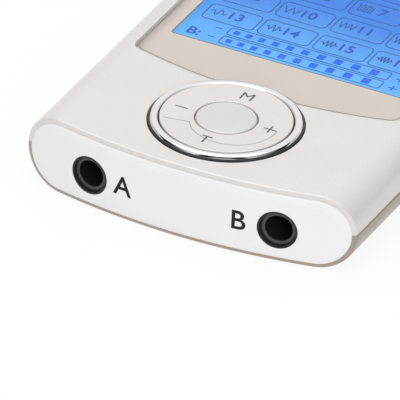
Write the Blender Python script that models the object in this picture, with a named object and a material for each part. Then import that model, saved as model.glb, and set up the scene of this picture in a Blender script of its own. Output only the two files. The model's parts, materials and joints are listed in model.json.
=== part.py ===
"""Hand-held two-channel TENS unit, lying face up.

+X is the width, -Y the end with the two output jacks, +Z up through the face.
The origin is under the middle of the case, on the plane of its back.
Lengths are metres: MM turns the millimetres of the drawing into metres.
"""

import math

import bmesh
import bpy
from mathutils import Matrix, Vector

MM = 0.001
GAP = 0.3 * MM              # room between two pieces that touch
PAST = 5.0 * MM             # how far a cutter runs past what it cuts
SAME = 1e-7                 # shorter than this is one point

# Case
CASE_LENGTH = 108.0 * MM
CASE_WIDTH = 54.0 * MM
CASE_HEIGHT = 12.2 * MM
CASE_MIDDLE = CASE_HEIGHT / 2
SIDE_RADIUS = CASE_HEIGHT / 2
END_BOW_RADIUS = 93.0 * MM  # both ends bow outwards in plan
WALL = 1.3 * MM
FLOOR_TOP = WALL
CEILING = CASE_HEIGHT - WALL
PARTING = 6.4 * MM
FLAT_STEPS = 10
ROUND_STEPS = 7

# End caps
CAP_RIM = 0.9 * MM          # shell left round a cap
CAP_INSET = CAP_RIM + GAP
CAP_THICKNESS = 2.5 * MM
SHELL_SET_BACK = 0.3 * MM   # the shells end this far behind the caps

# Dial: chrome ring, rocking pad and centre button
DIAL_Y = -CASE_LENGTH / 2 + 15.0 * MM
RING_RADIUS = 11.65 * MM
RING_INNER = 10.15 * MM
RING_SPIGOT = 10.6 * MM
RING_TOP = CASE_HEIGHT + 0.7 * MM
RING_FLANK = CASE_HEIGHT + 0.25 * MM
RING_SEAT = 11.4 * MM
SHELL_HOLE = RING_SPIGOT + GAP
DIAL_WALL_RADIUS = 12.1 * MM  # collar inside the shell, round the dial's hole
DIAL_WALL_DROP = 0.7 * MM
PAD_RADIUS = 9.9 * MM
PAD_HOLE = 4.85 * MM
PAD_TOP = RING_TOP
PAD_UNDER = PAD_TOP - 1.3 * MM
PAD_SKIRT = 9.2 * MM
PAD_FLANGE = 10.6 * MM
PAD_FLANGE_Z = (9.3 * MM, 9.9 * MM)
PAD_PIVOT_Z = 11.0 * MM
BUTTON_RADIUS = 4.6 * MM
BUTTON_TOP = PAD_TOP + 0.2 * MM
BUTTON_FLANGE = 5.3 * MM
BUTTON_FLANGE_Z = (10.5 * MM, 11.0 * MM)
BUTTON_STEM = 1.5 * MM
KEY_REACH = 7.2 * MM        # from the dial's centre to the four switches
NUB_RADIUS = 1.0 * MM
NUB_BOTTOM = 9.25 * MM
ACTUATOR_RADII = (5.9 * MM, 8.6 * MM)
ACTUATOR_Z = (9.7 * MM, 11.0 * MM)
RING_EDGE = 0.35 * MM
EDGE = 0.15 * MM            # small bevel on the pad's and the ring's edges
CROWN_STEPS = 5
TURN_STEPS = 48
NUB_ROOT = 0.4 * MM         # how far a nub reaches up into the actuator's ring
SWITCH_SIZE = 4.4 * MM
SWITCH_BODY = 0.85 * MM
SWITCH_STEM = 0.35 * MM
SWITCH_STEM_INSET = 1.3 * MM

# Display window
WINDOW_HALF = 21.5 * MM
WINDOW_LOW = DIAL_Y + 9.6 * MM
WINDOW_LOW_RADIUS = 72.0 * MM
WINDOW_HIGH = 38.0 * MM
WINDOW_CORNERS = (1.5 * MM, 3.0 * MM)
WINDOW_STEPS = 10
LENS_Z = (11.3 * MM, 12.0 * MM)
MASK_Z = (10.8 * MM, 11.0 * MM)
WINDOW_LEDGE = 10.5 * MM
WINDOW_PAD = 9.7 * MM       # underside of the thick frame round the window
WINDOW_PAD_WIDE = 1.4 * MM

# Display
VIEW_HALF = 19.15 * MM
VIEW_Y = (-17.7 * MM, 30.3 * MM)
GLASS_HALF = 20.5 * MM
GLASS_Y = (-20.5 * MM, 33.0 * MM)
GLASS_Z = (9.0 * MM, 10.5 * MM)
FRAME_HALF = 21.2 * MM
FRAME_Y = (-18.2 * MM, 33.6 * MM)
FRAME_Z = (7.6 * MM, 8.7 * MM)
GUIDE_HALF = 19.4 * MM
GUIDE_Y = (-17.2 * MM, 31.2 * MM)
GUIDE_Z = (7.8 * MM, 8.5 * MM)
LED_COUNT = 4
LED_SIZE = (2.4 * MM, 0.6 * MM)
LED_STRIP = 0.2 * MM        # thickness of the strip that carries the LEDs
ELASTOMER_HALF = 18.0 * MM
ELASTOMER_Y = (-20.2 * MM, -18.6 * MM)

# Board
BOARD_HALF = 21.0 * MM
BOARD_REAR = 48.0 * MM
BOARD_NOTCH_Y = -40.4 * MM
BOARD_TONGUE = 11.2 * MM
BOARD_FRONT = -49.4 * MM
BOARD_Z = (6.3 * MM, 7.3 * MM)
BOARD_HOLE = 1.5 * MM
UNDER = BOARD_Z[0] - GAP    # what hangs under the board starts here
ABOVE = BOARD_Z[1] + GAP    # what stands on the board starts here

# Chips: centre, body size in plan, height, leads along each side
MICROCONTROLLER = ((0.0, -43.4 * MM), (6.4 * MM, 7.2 * MM), 1.2 * MM, 8)
OUTPUT_DRIVER = ((0.0, -36.0 * MM), (3.9 * MM, 4.8 * MM), 1.5 * MM, 4)
CHARGER_CHIP = ((0.0, 40.0 * MM), (3.9 * MM, 4.8 * MM), 1.5 * MM, 4)
LEAD_REACH = 0.9 * MM       # how far a chip's leads stand out
LEAD_ROOT = 0.2 * MM        # how far they reach into its body
LEAD_FOOT = 0.05 * MM       # how far they stay below the top of its body

# Other parts under the board
TRANSFORMER_AT = (8.4 * MM, -28.0 * MM)
TRANSFORMER_CORE = (9.8 * MM, 8.4 * MM, 4.3 * MM)
CORE_WINDOW = (7.0 * MM, 2.3 * MM)
WINDING = (6.2 * MM, 7.8 * MM, 1.7 * MM)
WINDING_CORNER = 0.5 * MM
CAPACITOR_RADIUS = 2.1 * MM
CAPACITOR_X = 16.4 * MM
CAPACITOR_Y = (-31.5 * MM, -23.5 * MM)
CAN_STEPS = 24
INDUCTOR = ((0.0, -26.0 * MM), 2.5 * MM, 2.8 * MM)
BUZZER = ((-11.0 * MM, 40.6 * MM), 4.5 * MM, 3.4 * MM)
CRYSTAL = ((6.0 * MM, 10.0 * MM), (-46.2 * MM, -44.0 * MM), 1.4 * MM)
CRYSTAL_CORNER = 0.9 * MM

# Screws and bosses
BOSS_X = 18.5 * MM
BOSS_Y = (-36.0 * MM, 45.0 * MM)
LOWER_BOSS = 3.2 * MM
UPPER_BOSS = 2.3 * MM
SCREW_HEAD = 1.95 * MM
SCREW_HEAD_Z = (0.6 * MM, 1.7 * MM)
SCREW_SHANK = 0.95 * MM
SCREW_TIP = 10.0 * MM
SCREW_POINT = 0.8 * MM
SCREW_EDGE = 0.25 * MM
COUNTERBORE_TOP = 2.0 * MM

# Output jacks
JACK_X = 15.35 * MM
JACK_Z = 5.35 * MM           # a little under the middle of the case
JACK_HOLE = 3.1 * MM
JACK_NOSE = 2.8 * MM
JACK_BORE = 2.3 * MM
JACK_RECESS = 0.8 * MM
JACK_BODY_HALF = 3.8 * MM
JACK_REAR = -40.8 * MM
JACK_BORE_END = -43.8 * MM
JACK_NOSE_ROOT = 1.0 * MM
JACK_PIN = 0.6 * MM
JACK_PIN_DEPTH = 3.0 * MM
JACK_PIN_END = JACK_REAR - 1.0 * MM
TAIL_HALF = 0.7 * MM
TAIL_Y = (JACK_PIN_END - 0.8 * MM, BOARD_NOTCH_Y + 1.5 * MM)
TAIL_DROP = (-0.25 * MM, 0.35 * MM)
TAIL_ROOM = 0.6 * MM        # left round the tail inside the jack's body
SPRING_THICK = 0.35 * MM
SPRING_OFFSET = 0.5 * MM
BLADE = (-45.0 * MM, 6.0 * MM, (3.2 * MM, 5.6 * MM))
FOOT = (-40.6 * MM, 4.0 * MM, (5.0 * MM, 5.6 * MM))
JACK_STEPS = 24

# Charging port
USB_SIZE = (7.7 * MM, 3.9 * MM)
USB_WALL = 0.35 * MM
USB_Y = (44.8 * MM, 53.2 * MM)
USB_TONGUE = (5.4 * MM, 1.0 * MM)
USB_BLOCK = 2.3 * MM        # depth of the insulator's block behind its tongue
USB_TONGUE_END = 7.6 * MM

# Battery
CELL_HALF = 17.0 * MM
CELL_Y = (-15.0 * MM, 31.0 * MM)
CELL_Z = (2.3 * MM, 5.5 * MM)
CELL_CORNER = 1.4 * MM
FOAM_HALF = 14.0 * MM
FOAM_Y = (-12.0 * MM, 28.0 * MM)
PROTECTION = ((-9.0 * MM, 9.0 * MM), (31.6 * MM, 35.4 * MM), (3.4 * MM, 4.2 * MM))
LEAD_RADIUS = 0.55 * MM
LEAD_Z = (3.8 * MM, 4.2 * MM)
LEAD_RUNS = {"red": (5.2 * MM, 8.2 * MM), "black": (7.2 * MM, 10.2 * MM)}
LEAD_STEPS = 10
CONNECTOR_X = (6.4 * MM, 12.0 * MM)
CONNECTOR_Y = (41.0 * MM, 45.4 * MM)
CONNECTOR_Z = (2.9 * MM, UNDER)

# Label in its recess on the back
LABEL_HALF = 15.0 * MM
LABEL_Y = (-12.0 * MM, 30.0 * MM)
LABEL_Z = (0.05 * MM, 0.25 * MM)
LABEL_CORNER = 1.5 * MM


# ---------------------------------------------------------------- helpers

def clear_scene():
    for item in list(bpy.data.objects):
        bpy.data.objects.remove(item, do_unlink=True)


def finish(name, colour, roughness, metallic=0.0, alpha=1.0):
    """A Principled material of one colour."""
    made = bpy.data.materials.new(name)
    made.use_nodes = True
    shader = made.node_tree.nodes["Principled BSDF"]
    shader.inputs["Base Color"].default_value = (*colour, 1.0)
    shader.inputs["Roughness"].default_value = roughness
    shader.inputs["Metallic"].default_value = metallic
    shader.inputs["Alpha"].default_value = alpha
    return made


def piece(name, shape, look, at=(0.0, 0.0, 0.0), parent=None):
    """A named object of a bmesh drawn in world coordinates, with its origin at a point."""
    bmesh.ops.translate(shape, verts=shape.verts, vec=-Vector(at))
    bmesh.ops.recalc_face_normals(shape, faces=shape.faces)
    mesh = bpy.data.meshes.new(name)
    shape.to_mesh(mesh)
    shape.free()
    mesh.materials.append(look)
    mesh.shade_smooth()
    mesh.set_sharp_from_angle(angle=math.radians(35))
    made = bpy.data.objects.new(name, mesh)
    made.location = at
    if parent is not None:
        made.parent = parent
        made.location = Vector(at) - parent.location
    bpy.context.scene.collection.objects.link(made)
    return made


def joint_empty(name, at):
    """An empty that marks a joint's axis and carries the pieces that turn on it."""
    made = bpy.data.objects.new(name, None)
    made.location = at
    made.empty_display_size = 4 * MM
    bpy.context.scene.collection.objects.link(made)
    return made


def boolean(target, operation, shape, label):
    """Adds a Boolean modifier to target, with shape as its hidden tool."""
    bmesh.ops.recalc_face_normals(shape, faces=shape.faces)
    mesh = bpy.data.meshes.new(label)
    shape.to_mesh(mesh)
    shape.free()
    tool = bpy.data.objects.new(label, mesh)
    tool.hide_render = True
    tool.display_type = "WIRE"
    bpy.context.scene.collection.objects.link(tool)
    modifier = target.modifiers.new(label, "BOOLEAN")
    modifier.operation = operation
    modifier.solver = "EXACT"
    modifier.object = tool


def cut(target, shape, label):
    boolean(target, "DIFFERENCE", shape, label)


def join(target, shape, label):
    boolean(target, "UNION", shape, label)


def group(shapes):
    """One bmesh of several separate closed bodies."""
    whole = bmesh.new()
    for shape in shapes:
        mesh = bpy.data.meshes.new("scratch")
        shape.to_mesh(mesh)
        shape.free()
        whole.from_mesh(mesh)
        bpy.data.meshes.remove(mesh)
    return whole


def moved(shape, by):
    bmesh.ops.translate(shape, verts=shape.verts, vec=by)
    return shape


def prism(outline, low, high):
    """The outline, a list of (x, y), raised from low to high."""
    shape = bmesh.new()
    bottom = [shape.verts.new((x, y, low)) for x, y in outline]
    face = shape.faces.new(bottom)
    raised = bmesh.ops.extrude_face_region(shape, geom=[face])["geom"]
    points = [item for item in raised if isinstance(item, bmesh.types.BMVert)]
    bmesh.ops.translate(shape, verts=points, vec=(0.0, 0.0, high - low))
    return shape


def box(x, y, z):
    """A box from three (low, high) pairs."""
    return prism([(x[0], y[0]), (x[1], y[0]), (x[1], y[1]), (x[0], y[1])], *z)


def middle_box(centre, size, z):
    """A box on a plan centre (x, y), with a plan size (x, y), between two heights."""
    x, y = (
        (middle - extent / 2, middle + extent / 2)
        for middle, extent in zip(centre, size)
    )
    return box(x, y, z)


def turned(profile, steps=TURN_STEPS):
    """A closed profile of (radius, height) turned about the Z axis."""
    shape = bmesh.new()
    rings = []
    for radius, height in profile:
        if radius < SAME:
            rings.append([shape.verts.new((0.0, 0.0, height))] * steps)
            continue
        turns = [2 * math.pi * step / steps for step in range(steps)]
        rings.append([
            shape.verts.new((radius * math.cos(turn), radius * math.sin(turn), height))
            for turn in turns
        ])
    for ring, following in zip(rings, rings[1:] + rings[:1]):
        for step in range(steps):
            after = (step + 1) % steps
            corners = (ring[step], ring[after], following[after], following[step])
            corners = list(dict.fromkeys(corners))
            if len(corners) > 2:
                shape.faces.new(corners)
    return shape


def rod(radius, low, high, steps=TURN_STEPS):
    return turned([(0.0, low), (radius, low), (radius, high), (0.0, high)], steps)


def along_y(shape, x, z):
    """Lays a shape that stands on the Z axis along +Y, at a place across the case."""
    bmesh.ops.rotate(shape, verts=shape.verts, matrix=Matrix.Rotation(-math.pi / 2, 3, "X"))
    return moved(shape, (x, 0.0, z))


def quarter(centre, radii, start, steps):
    """Points of a quarter ellipse, from the angle start anticlockwise."""
    turns = [start + math.pi / 2 * step / steps for step in range(steps + 1)]
    return [
        (centre[0] + radii[0] * math.cos(turn), centre[1] + radii[1] * math.sin(turn))
        for turn in turns
    ]


def rounded(corners, steps=4):
    """An outline whose corners (x, y, radius) are rounded by that radius."""
    outline = []
    for index, (x, y, radius) in enumerate(corners):
        here = Vector((x, y))
        if radius == 0.0:
            outline.append((x, y))
            continue
        before = (Vector(corners[index - 1][:2]) - here).normalized()
        after = (Vector(corners[(index + 1) % len(corners)][:2]) - here).normalized()
        half = before.angle(after) / 2
        centre = here + (before + after).normalized() * radius / math.sin(half)
        start = here + before * radius / math.tan(half) - centre
        end = here + after * radius / math.tan(half) - centre
        sweep = start.angle_signed(end)
        for step in range(steps + 1):
            spoke = start.copy()
            spoke.rotate(Matrix.Rotation(-sweep * step / steps, 2))
            outline.append(tuple(centre + spoke))
    return outline


def rounded_box(x, y, z, radius):
    """A box whose upright edges are rounded."""
    corners = [(x[0], y[0]), (x[1], y[0]), (x[1], y[1]), (x[0], y[1])]
    return prism(rounded([(*corner, radius) for corner in corners]), *z)


# ---------------------------------------------------------------- the case's own shape

def end_bow(x):
    """How far the bowed end lies behind its foremost point."""
    return END_BOW_RADIUS - math.sqrt(END_BOW_RADIUS**2 - x**2)


def front_y(x, depth=0.0):
    return -CASE_LENGTH / 2 + end_bow(x) + depth


def rear_y(x, depth=0.0):
    return -front_y(x, depth)


def case_body(inset, y_low, y_high, z_low=0.0, z_high=CASE_HEIGHT):
    """The case's section drawn in by inset, between two end curves y(x) and two heights.

    It is built of upright stations across the width, so every face of it is flat.
    """
    radius = SIDE_RADIUS - inset
    flat = CASE_WIDTH / 2 - SIDE_RADIUS
    steepest = max(0.0, z_low - CASE_MIDDLE, CASE_MIDDLE - z_high)
    last = math.acos(steepest / radius)
    half = [(flat * step / FLAT_STEPS, radius) for step in range(FLAT_STEPS + 1)]
    for step in range(1, ROUND_STEPS + 1):
        turn = last * step / ROUND_STEPS
        half.append((flat + radius * math.sin(turn), radius * math.cos(turn)))
    stations = [(-x, rise) for x, rise in half[:0:-1]] + half
    shape = bmesh.new()
    rings = []
    for x, rise in stations:
        low = max(CASE_MIDDLE - rise, z_low)
        high = min(CASE_MIDDLE + rise, z_high)
        bottom = [shape.verts.new((x, y, low)) for y in (y_low(x), y_high(x))]
        top = bottom
        if high - low > SAME:
            top = [shape.verts.new((x, y, high)) for y in (y_low(x), y_high(x))]
        rings.append((bottom[0], bottom[1], top[1], top[0]))
    for ring, following in zip(rings, rings[1:]):
        for side in range(4):
            after = (side + 1) % 4
            corners = (ring[side], following[side], following[after], ring[after])
            corners = list(dict.fromkeys(corners))
            if len(corners) > 2:
                shape.faces.new(corners)
    for ring in (rings[0], rings[-1]):
        if ring[0] is not ring[3]:
            shape.faces.new(ring)
    return shape


def whole_length(depth):
    """The two end curves of a body that stops depth behind the caps' faces."""
    return (lambda x: front_y(x, depth)), (lambda x: rear_y(x, depth))


def cap_rebates():
    """Cutters for the two seats of the end caps."""
    depth = CAP_THICKNESS + GAP
    front = case_body(CAP_RIM, lambda x: front_y(x, -PAST), lambda x: front_y(x, depth))
    rear = case_body(CAP_RIM, lambda x: rear_y(x, depth), lambda x: rear_y(x, -PAST))
    return group([front, rear])


def boss_places():
    return [(side * BOSS_X, y) for y in BOSS_Y for side in (-1, 1)]


def at_bosses(radius, low, high, steps=20):
    """One rod at each of the four screw places."""
    return group([
        moved(rod(radius, low, high, steps), (x, y, 0.0)) for x, y in boss_places()
    ])


def at_dial(shape):
    return moved(shape, (0.0, DIAL_Y, 0.0))


def window_outline(grow=0.0):
    """The window: straight sides, a lower edge that is bowed, and rounded corners."""
    half = WINDOW_HALF + grow
    radius = WINDOW_LOW_RADIUS
    lower = []
    for step in range(WINDOW_STEPS + 1):
        x = -half + 2 * half * step / WINDOW_STEPS
        rise = radius - math.sqrt(radius**2 - x**2)
        corner = WINDOW_CORNERS[0] if step in (0, WINDOW_STEPS) else 0.0
        lower.append((x, WINDOW_LOW + rise - grow, corner))
    high = WINDOW_HIGH + grow
    upper = [(half, high, WINDOW_CORNERS[1]), (-half, high, WINDOW_CORNERS[1])]
    return rounded(lower + upper)


# ---------------------------------------------------------------- shells and caps

def upper_shell(look):
    seam = PARTING + GAP / 2
    made = piece("upper_shell", case_body(0.0, *whole_length(SHELL_SET_BACK), z_low=seam), look)
    cut(made, case_body(WALL, *whole_length(-PAST)), "upper_hollow")
    cut(made, cap_rebates(), "upper_cap_seats")
    frame = box(
        (-WINDOW_HALF - WINDOW_PAD_WIDE, WINDOW_HALF + WINDOW_PAD_WIDE),
        (WINDOW_LOW - WINDOW_PAD_WIDE, WINDOW_HIGH + WINDOW_PAD_WIDE),
        (WINDOW_PAD, CEILING + WALL / 2),
    )
    join(made, frame, "window_frame")
    dial_wall = rod(DIAL_WALL_RADIUS, CEILING - DIAL_WALL_DROP, CEILING + WALL / 3)
    join(made, at_dial(dial_wall), "dial_wall")
    join(made, at_bosses(UPPER_BOSS, ABOVE, CEILING + WALL / 2), "upper_bosses")
    cut(made, at_bosses(SCREW_SHANK + GAP, 0.0, SCREW_TIP + GAP), "upper_pilots")
    top = CASE_HEIGHT + PAST
    cut(made, prism(window_outline(GAP), WINDOW_LEDGE, top), "window_pocket")
    glass_room = box(
        (-GLASS_HALF - GAP, GLASS_HALF + GAP), (GLASS_Y[0] - GAP, GLASS_Y[1] + GAP), (0.0, top)
    )
    cut(made, glass_room, "display_opening")
    stepped_hole = [
        (0.0, 0.0),
        (SHELL_HOLE, 0.0),
        (SHELL_HOLE, RING_SEAT),
        (RING_RADIUS + GAP, RING_SEAT),
        (RING_RADIUS + GAP, top),
        (0.0, top),
    ]
    cut(made, at_dial(turned(stepped_hole)), "dial_hole")


def lower_shell(look):
    seam = PARTING - GAP / 2
    made = piece("lower_shell", case_body(0.0, *whole_length(SHELL_SET_BACK), z_high=seam), look)
    cut(made, case_body(WALL, *whole_length(-PAST)), "lower_hollow")
    cut(made, cap_rebates(), "lower_cap_seats")
    join(made, at_bosses(LOWER_BOSS, FLOOR_TOP / 2, UNDER), "lower_bosses")
    cut(made, at_bosses(SCREW_HEAD + GAP, -PAST, COUNTERBORE_TOP), "counterbores")
    cut(made, at_bosses(SCREW_SHANK + GAP, -PAST, CASE_HEIGHT), "screw_holes")
    recess = box(
        (-LABEL_HALF - GAP, LABEL_HALF + GAP),
        (LABEL_Y[0] - GAP, LABEL_Y[1] + GAP),
        (-PAST, LABEL_Z[1] + GAP),
    )
    cut(made, recess, "label_recess")


def front_end_cap(look):
    made = piece(
        "front_end_cap", case_body(CAP_INSET, front_y, lambda x: front_y(x, CAP_THICKNESS)), look
    )
    through = (-CASE_LENGTH / 2 - PAST, -CASE_LENGTH / 2 + PAST + CAP_THICKNESS)
    holes = [
        along_y(rod(JACK_HOLE, *through, steps=JACK_STEPS), side * JACK_X, JACK_Z)
        for side in (-1, 1)
    ]
    cut(made, group(holes), "jack_holes")


def rear_end_cap(look):
    made = piece(
        "rear_end_cap", case_body(CAP_INSET, lambda x: rear_y(x, CAP_THICKNESS), rear_y), look
    )
    half = [extent / 2 + GAP for extent in USB_SIZE]
    slot = box(
        (-half[0], half[0]),
        (CASE_LENGTH / 2 - CAP_THICKNESS - PAST, CASE_LENGTH / 2 + PAST),
        (CASE_MIDDLE - half[1], CASE_MIDDLE + half[1]),
    )
    cut(made, slot, "charging_slot")


# ---------------------------------------------------------------- display

def dial_bite(low, high):
    """Cutter that keeps the window's pieces clear of the chrome ring."""
    return at_dial(rod(RING_RADIUS + GAP, low - PAST, high + PAST))


def display_window(look):
    made = piece("display_window", prism(window_outline(), *LENS_Z), look)
    cut(made, dial_bite(*LENS_Z), "window_bite")


def window_mask(look):
    made = piece("window_mask", prism(window_outline(), *MASK_Z), look)
    cut(made, dial_bite(*MASK_Z), "mask_bite")
    opening = box((-VIEW_HALF, VIEW_HALF), VIEW_Y, (MASK_Z[0] - PAST, MASK_Z[1] + PAST))
    cut(made, opening, "mask_opening")


def lcd_glass(look):
    """Front and rear glass as one cell, the rear one longer where its contacts are."""
    made = piece("lcd_glass", box((-GLASS_HALF, GLASS_HALF), GLASS_Y, GLASS_Z), look)
    ledge = box(
        (-GLASS_HALF - PAST, GLASS_HALF + PAST),
        (GLASS_Y[0] - PAST, FRAME_Y[0]),
        ((GLASS_Z[0] + GLASS_Z[1]) / 2, GLASS_Z[1] + PAST),
    )
    cut(made, ledge, "contact_ledge")


def lcd_frame(look):
    made = piece("lcd_frame", box((-FRAME_HALF, FRAME_HALF), FRAME_Y, FRAME_Z), look)
    room = box(
        (-GUIDE_HALF - GAP, GUIDE_HALF + GAP),
        (GUIDE_Y[0] - GAP, FRAME_Y[1] - 4 * GAP),
        (FRAME_Z[0] - PAST, FRAME_Z[1] + PAST),
    )
    cut(made, room, "light_guide_room")


def lcd_light_guide(look):
    piece("lcd_light_guide", box((-GUIDE_HALF, GUIDE_HALF), GUIDE_Y, GUIDE_Z), look)


def backlight_bar(look):
    """A flexible strip along the light guide's far edge, with its LEDs."""
    pitch = 2 * GUIDE_HALF / LED_COUNT
    y = GUIDE_Y[1] + GAP + LED_SIZE[1] / 2
    strip_z = (GUIDE_Z[0], GUIDE_Z[0] + LED_STRIP)
    strip = middle_box((0.0, y), (2 * GUIDE_HALF, LED_SIZE[1]), strip_z)
    made = piece("backlight_bar", strip, look)
    led_z = (GUIDE_Z[0] + LED_STRIP / 2, GUIDE_Z[1])
    leds = [
        middle_box((-GUIDE_HALF + pitch * (led + 0.5), y), (LED_SIZE[0], LED_SIZE[1] * 0.8), led_z)
        for led in range(LED_COUNT)
    ]
    join(made, group(leds), "backlight_leds")


def elastomer_strip(look):
    strip = box((-ELASTOMER_HALF, ELASTOMER_HALF), ELASTOMER_Y, FRAME_Z)
    piece("elastomer_strip", strip, look)


# ---------------------------------------------------------------- dial

def dial_ring(look):
    crown = quarter(
        (RING_INNER + RING_EDGE, RING_FLANK),
        (RING_RADIUS - RING_INNER - RING_EDGE, RING_TOP - RING_FLANK),
        0.0,
        CROWN_STEPS,
    )
    profile = [(RING_SPIGOT, RING_SEAT + GAP), (RING_RADIUS, RING_SEAT + GAP), *crown]
    profile += [
        (RING_INNER, RING_TOP - EDGE),
        (RING_INNER, CEILING),
        (RING_SPIGOT, CEILING),
    ]
    piece("dial_ring", at_dial(turned(profile)), look, (0.0, DIAL_Y, CASE_HEIGHT))


def nav_disc(look, parent):
    profile = [
        (PAD_HOLE, PAD_UNDER),
        (PAD_HOLE, PAD_TOP - EDGE),
        (PAD_HOLE + EDGE, PAD_TOP),
        (PAD_RADIUS - EDGE, PAD_TOP),
        (PAD_RADIUS, PAD_TOP - EDGE),
        (PAD_RADIUS, PAD_FLANGE_Z[1]),
        (PAD_FLANGE, PAD_FLANGE_Z[1]),
        (PAD_FLANGE, PAD_FLANGE_Z[0]),
        (PAD_SKIRT, PAD_FLANGE_Z[0]),
        (PAD_SKIRT, PAD_UNDER),
    ]
    piece("nav_disc", at_dial(turned(profile)), look, (0.0, DIAL_Y, PAD_PIVOT_Z), parent)


def pad_actuator(look, parent):
    """Silicone ring with four nubs, one over each direction's switch."""
    inner, outer = ACTUATOR_RADII
    low, high = ACTUATOR_Z
    ring = turned([(inner, low), (outer, low), (outer, high), (inner, high)], TURN_STEPS)
    made = piece("pad_actuator", at_dial(ring), look, (0.0, DIAL_Y, PAD_PIVOT_Z), parent)
    nubs = []
    for quarter_turn in range(4):
        turn = quarter_turn * math.pi / 2
        place = (KEY_REACH * math.cos(turn), DIAL_Y + KEY_REACH * math.sin(turn), 0.0)
        nubs.append(moved(rod(NUB_RADIUS, NUB_BOTTOM, low + NUB_ROOT, 12), place))
    join(made, group(nubs), "actuator_nubs")


def centre_button(look):
    profile = [
        (0.0, BUTTON_TOP),
        (BUTTON_RADIUS * 0.6, BUTTON_TOP - 0.03 * MM),
        (BUTTON_RADIUS * 0.9, BUTTON_TOP - 0.12 * MM),
        (BUTTON_RADIUS, BUTTON_TOP - 0.4 * MM),
        (BUTTON_RADIUS, BUTTON_FLANGE_Z[1]),
        (BUTTON_FLANGE, BUTTON_FLANGE_Z[1]),
        (BUTTON_FLANGE, BUTTON_FLANGE_Z[0]),
        (BUTTON_STEM, BUTTON_FLANGE_Z[0]),
        (BUTTON_STEM, NUB_BOTTOM),
        (0.0, NUB_BOTTOM),
    ]
    piece("centre_button", at_dial(turned(profile, 36)), look, (0.0, DIAL_Y, BUTTON_TOP))


def tact_switch(name, x, y, look):
    """A switch on the board, with its square stem towards the pad."""
    body_z = (ABOVE, ABOVE + SWITCH_BODY)
    shape = middle_box((x, DIAL_Y + y), (SWITCH_SIZE, SWITCH_SIZE), body_z)
    top = max(shape.faces, key=lambda face: face.calc_center_median().z)
    bmesh.ops.inset_region(shape, faces=[top], thickness=SWITCH_STEM_INSET)
    raised = bmesh.ops.extrude_discrete_faces(shape, faces=[top])["faces"][0]
    bmesh.ops.translate(shape, verts=raised.verts, vec=(0.0, 0.0, SWITCH_STEM))
    piece(name, shape, look)


def tact_switches(look):
    """One under the button and one under each of the actuator's nubs."""
    places = {
        "centre": (0.0, 0.0),
        "plus": (KEY_REACH, 0.0),
        "minus": (-KEY_REACH, 0.0),
        "mode": (0.0, KEY_REACH),
        "timer": (0.0, -KEY_REACH),
    }
    for key, (x, y) in places.items():
        tact_switch(f"tact_switch_{key}", x, y, look)


# ---------------------------------------------------------------- jacks and charging port

def jack_side(channel):
    return -1 if channel == "a" else 1


def output_jack(channel, look):
    """A socket block behind the end cap, with a round nose in the cap's hole."""
    x = jack_side(channel) * JACK_X
    face = front_y(JACK_X, JACK_RECESS)
    block_front = front_y(JACK_X + JACK_BODY_HALF, CAP_THICKNESS + GAP)
    body = box(
        (x - JACK_BODY_HALF, x + JACK_BODY_HALF),
        (block_front, JACK_REAR),
        (JACK_Z - JACK_BODY_HALF, JACK_Z + JACK_BODY_HALF),
    )
    made = piece(f"output_jack_{channel}", body, look, (x, face, JACK_Z))
    nose = rod(JACK_NOSE, face, block_front + JACK_NOSE_ROOT, JACK_STEPS)
    join(made, along_y(nose, x, JACK_Z), f"jack_{channel}_nose")
    bore = rod(JACK_BORE, face - PAST, JACK_BORE_END, JACK_STEPS)
    cut(made, along_y(bore, x, JACK_Z), f"jack_{channel}_bore")
    room_half = TAIL_HALF + TAIL_ROOM
    tail_room = box(
        (x - room_half, x + room_half),
        (JACK_BORE_END - TAIL_ROOM, JACK_REAR + PAST),
        (JACK_Z + TAIL_DROP[0] - TAIL_ROOM, JACK_Z + JACK_PIN + GAP),
    )
    cut(made, tail_room, f"jack_{channel}_tail_room")


def jack_pin(channel, look):
    """Centre pin of a jack with its solder tail."""
    x = jack_side(channel) * JACK_X
    pin = rod(JACK_PIN, front_y(JACK_X, JACK_PIN_DEPTH), JACK_PIN_END, 12)
    made = piece(f"jack_{channel}_pin", along_y(pin, x, JACK_Z), look)
    tail_z = (JACK_Z + TAIL_DROP[0], JACK_Z + TAIL_DROP[1])
    tail = box((x - TAIL_HALF, x + TAIL_HALF), TAIL_Y, tail_z)
    join(made, tail, f"jack_{channel}_tail")


def jack_spring(channel, look):
    """Side contact that stands beside the jack's body, with its foot towards the board."""
    side = jack_side(channel)
    x = side * (JACK_X - JACK_BODY_HALF - SPRING_OFFSET)
    blade, foot = (
        middle_box((x, y), (SPRING_THICK, length), z) for y, length, z in (BLADE, FOOT)
    )
    made = piece(f"jack_{channel}_spring", blade, look)
    join(made, foot, f"jack_{channel}_foot")


def usb_port_shell(look):
    half = [extent / 2 for extent in USB_SIZE]
    outer = box((-half[0], half[0]), USB_Y, (CASE_MIDDLE - half[1], CASE_MIDDLE + half[1]))
    made = piece("usb_port_shell", outer, look)
    inner = [extent - USB_WALL for extent in half]
    room = box(
        (-inner[0], inner[0]),
        (USB_Y[0] - PAST, USB_Y[1] + PAST),
        (CASE_MIDDLE - inner[1], CASE_MIDDLE + inner[1]),
    )
    cut(made, room, "usb_room")


def usb_port_insulator(look):
    half = [extent / 2 - USB_WALL - GAP for extent in USB_SIZE]
    block = box(
        (-half[0], half[0]),
        (USB_Y[0] + GAP, USB_Y[0] + GAP + USB_BLOCK),
        (CASE_MIDDLE - half[1], CASE_MIDDLE + half[1]),
    )
    made = piece("usb_port_insulator", block, look)
    tongue = box(
        (-USB_TONGUE[0] / 2, USB_TONGUE[0] / 2),
        (USB_Y[0] + USB_BLOCK / 2, USB_Y[0] + USB_TONGUE_END),
        (CASE_MIDDLE - USB_TONGUE[1] / 2, CASE_MIDDLE + USB_TONGUE[1] / 2),
    )
    join(made, tongue, "usb_tongue")


# ---------------------------------------------------------------- board and what is on it

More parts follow.
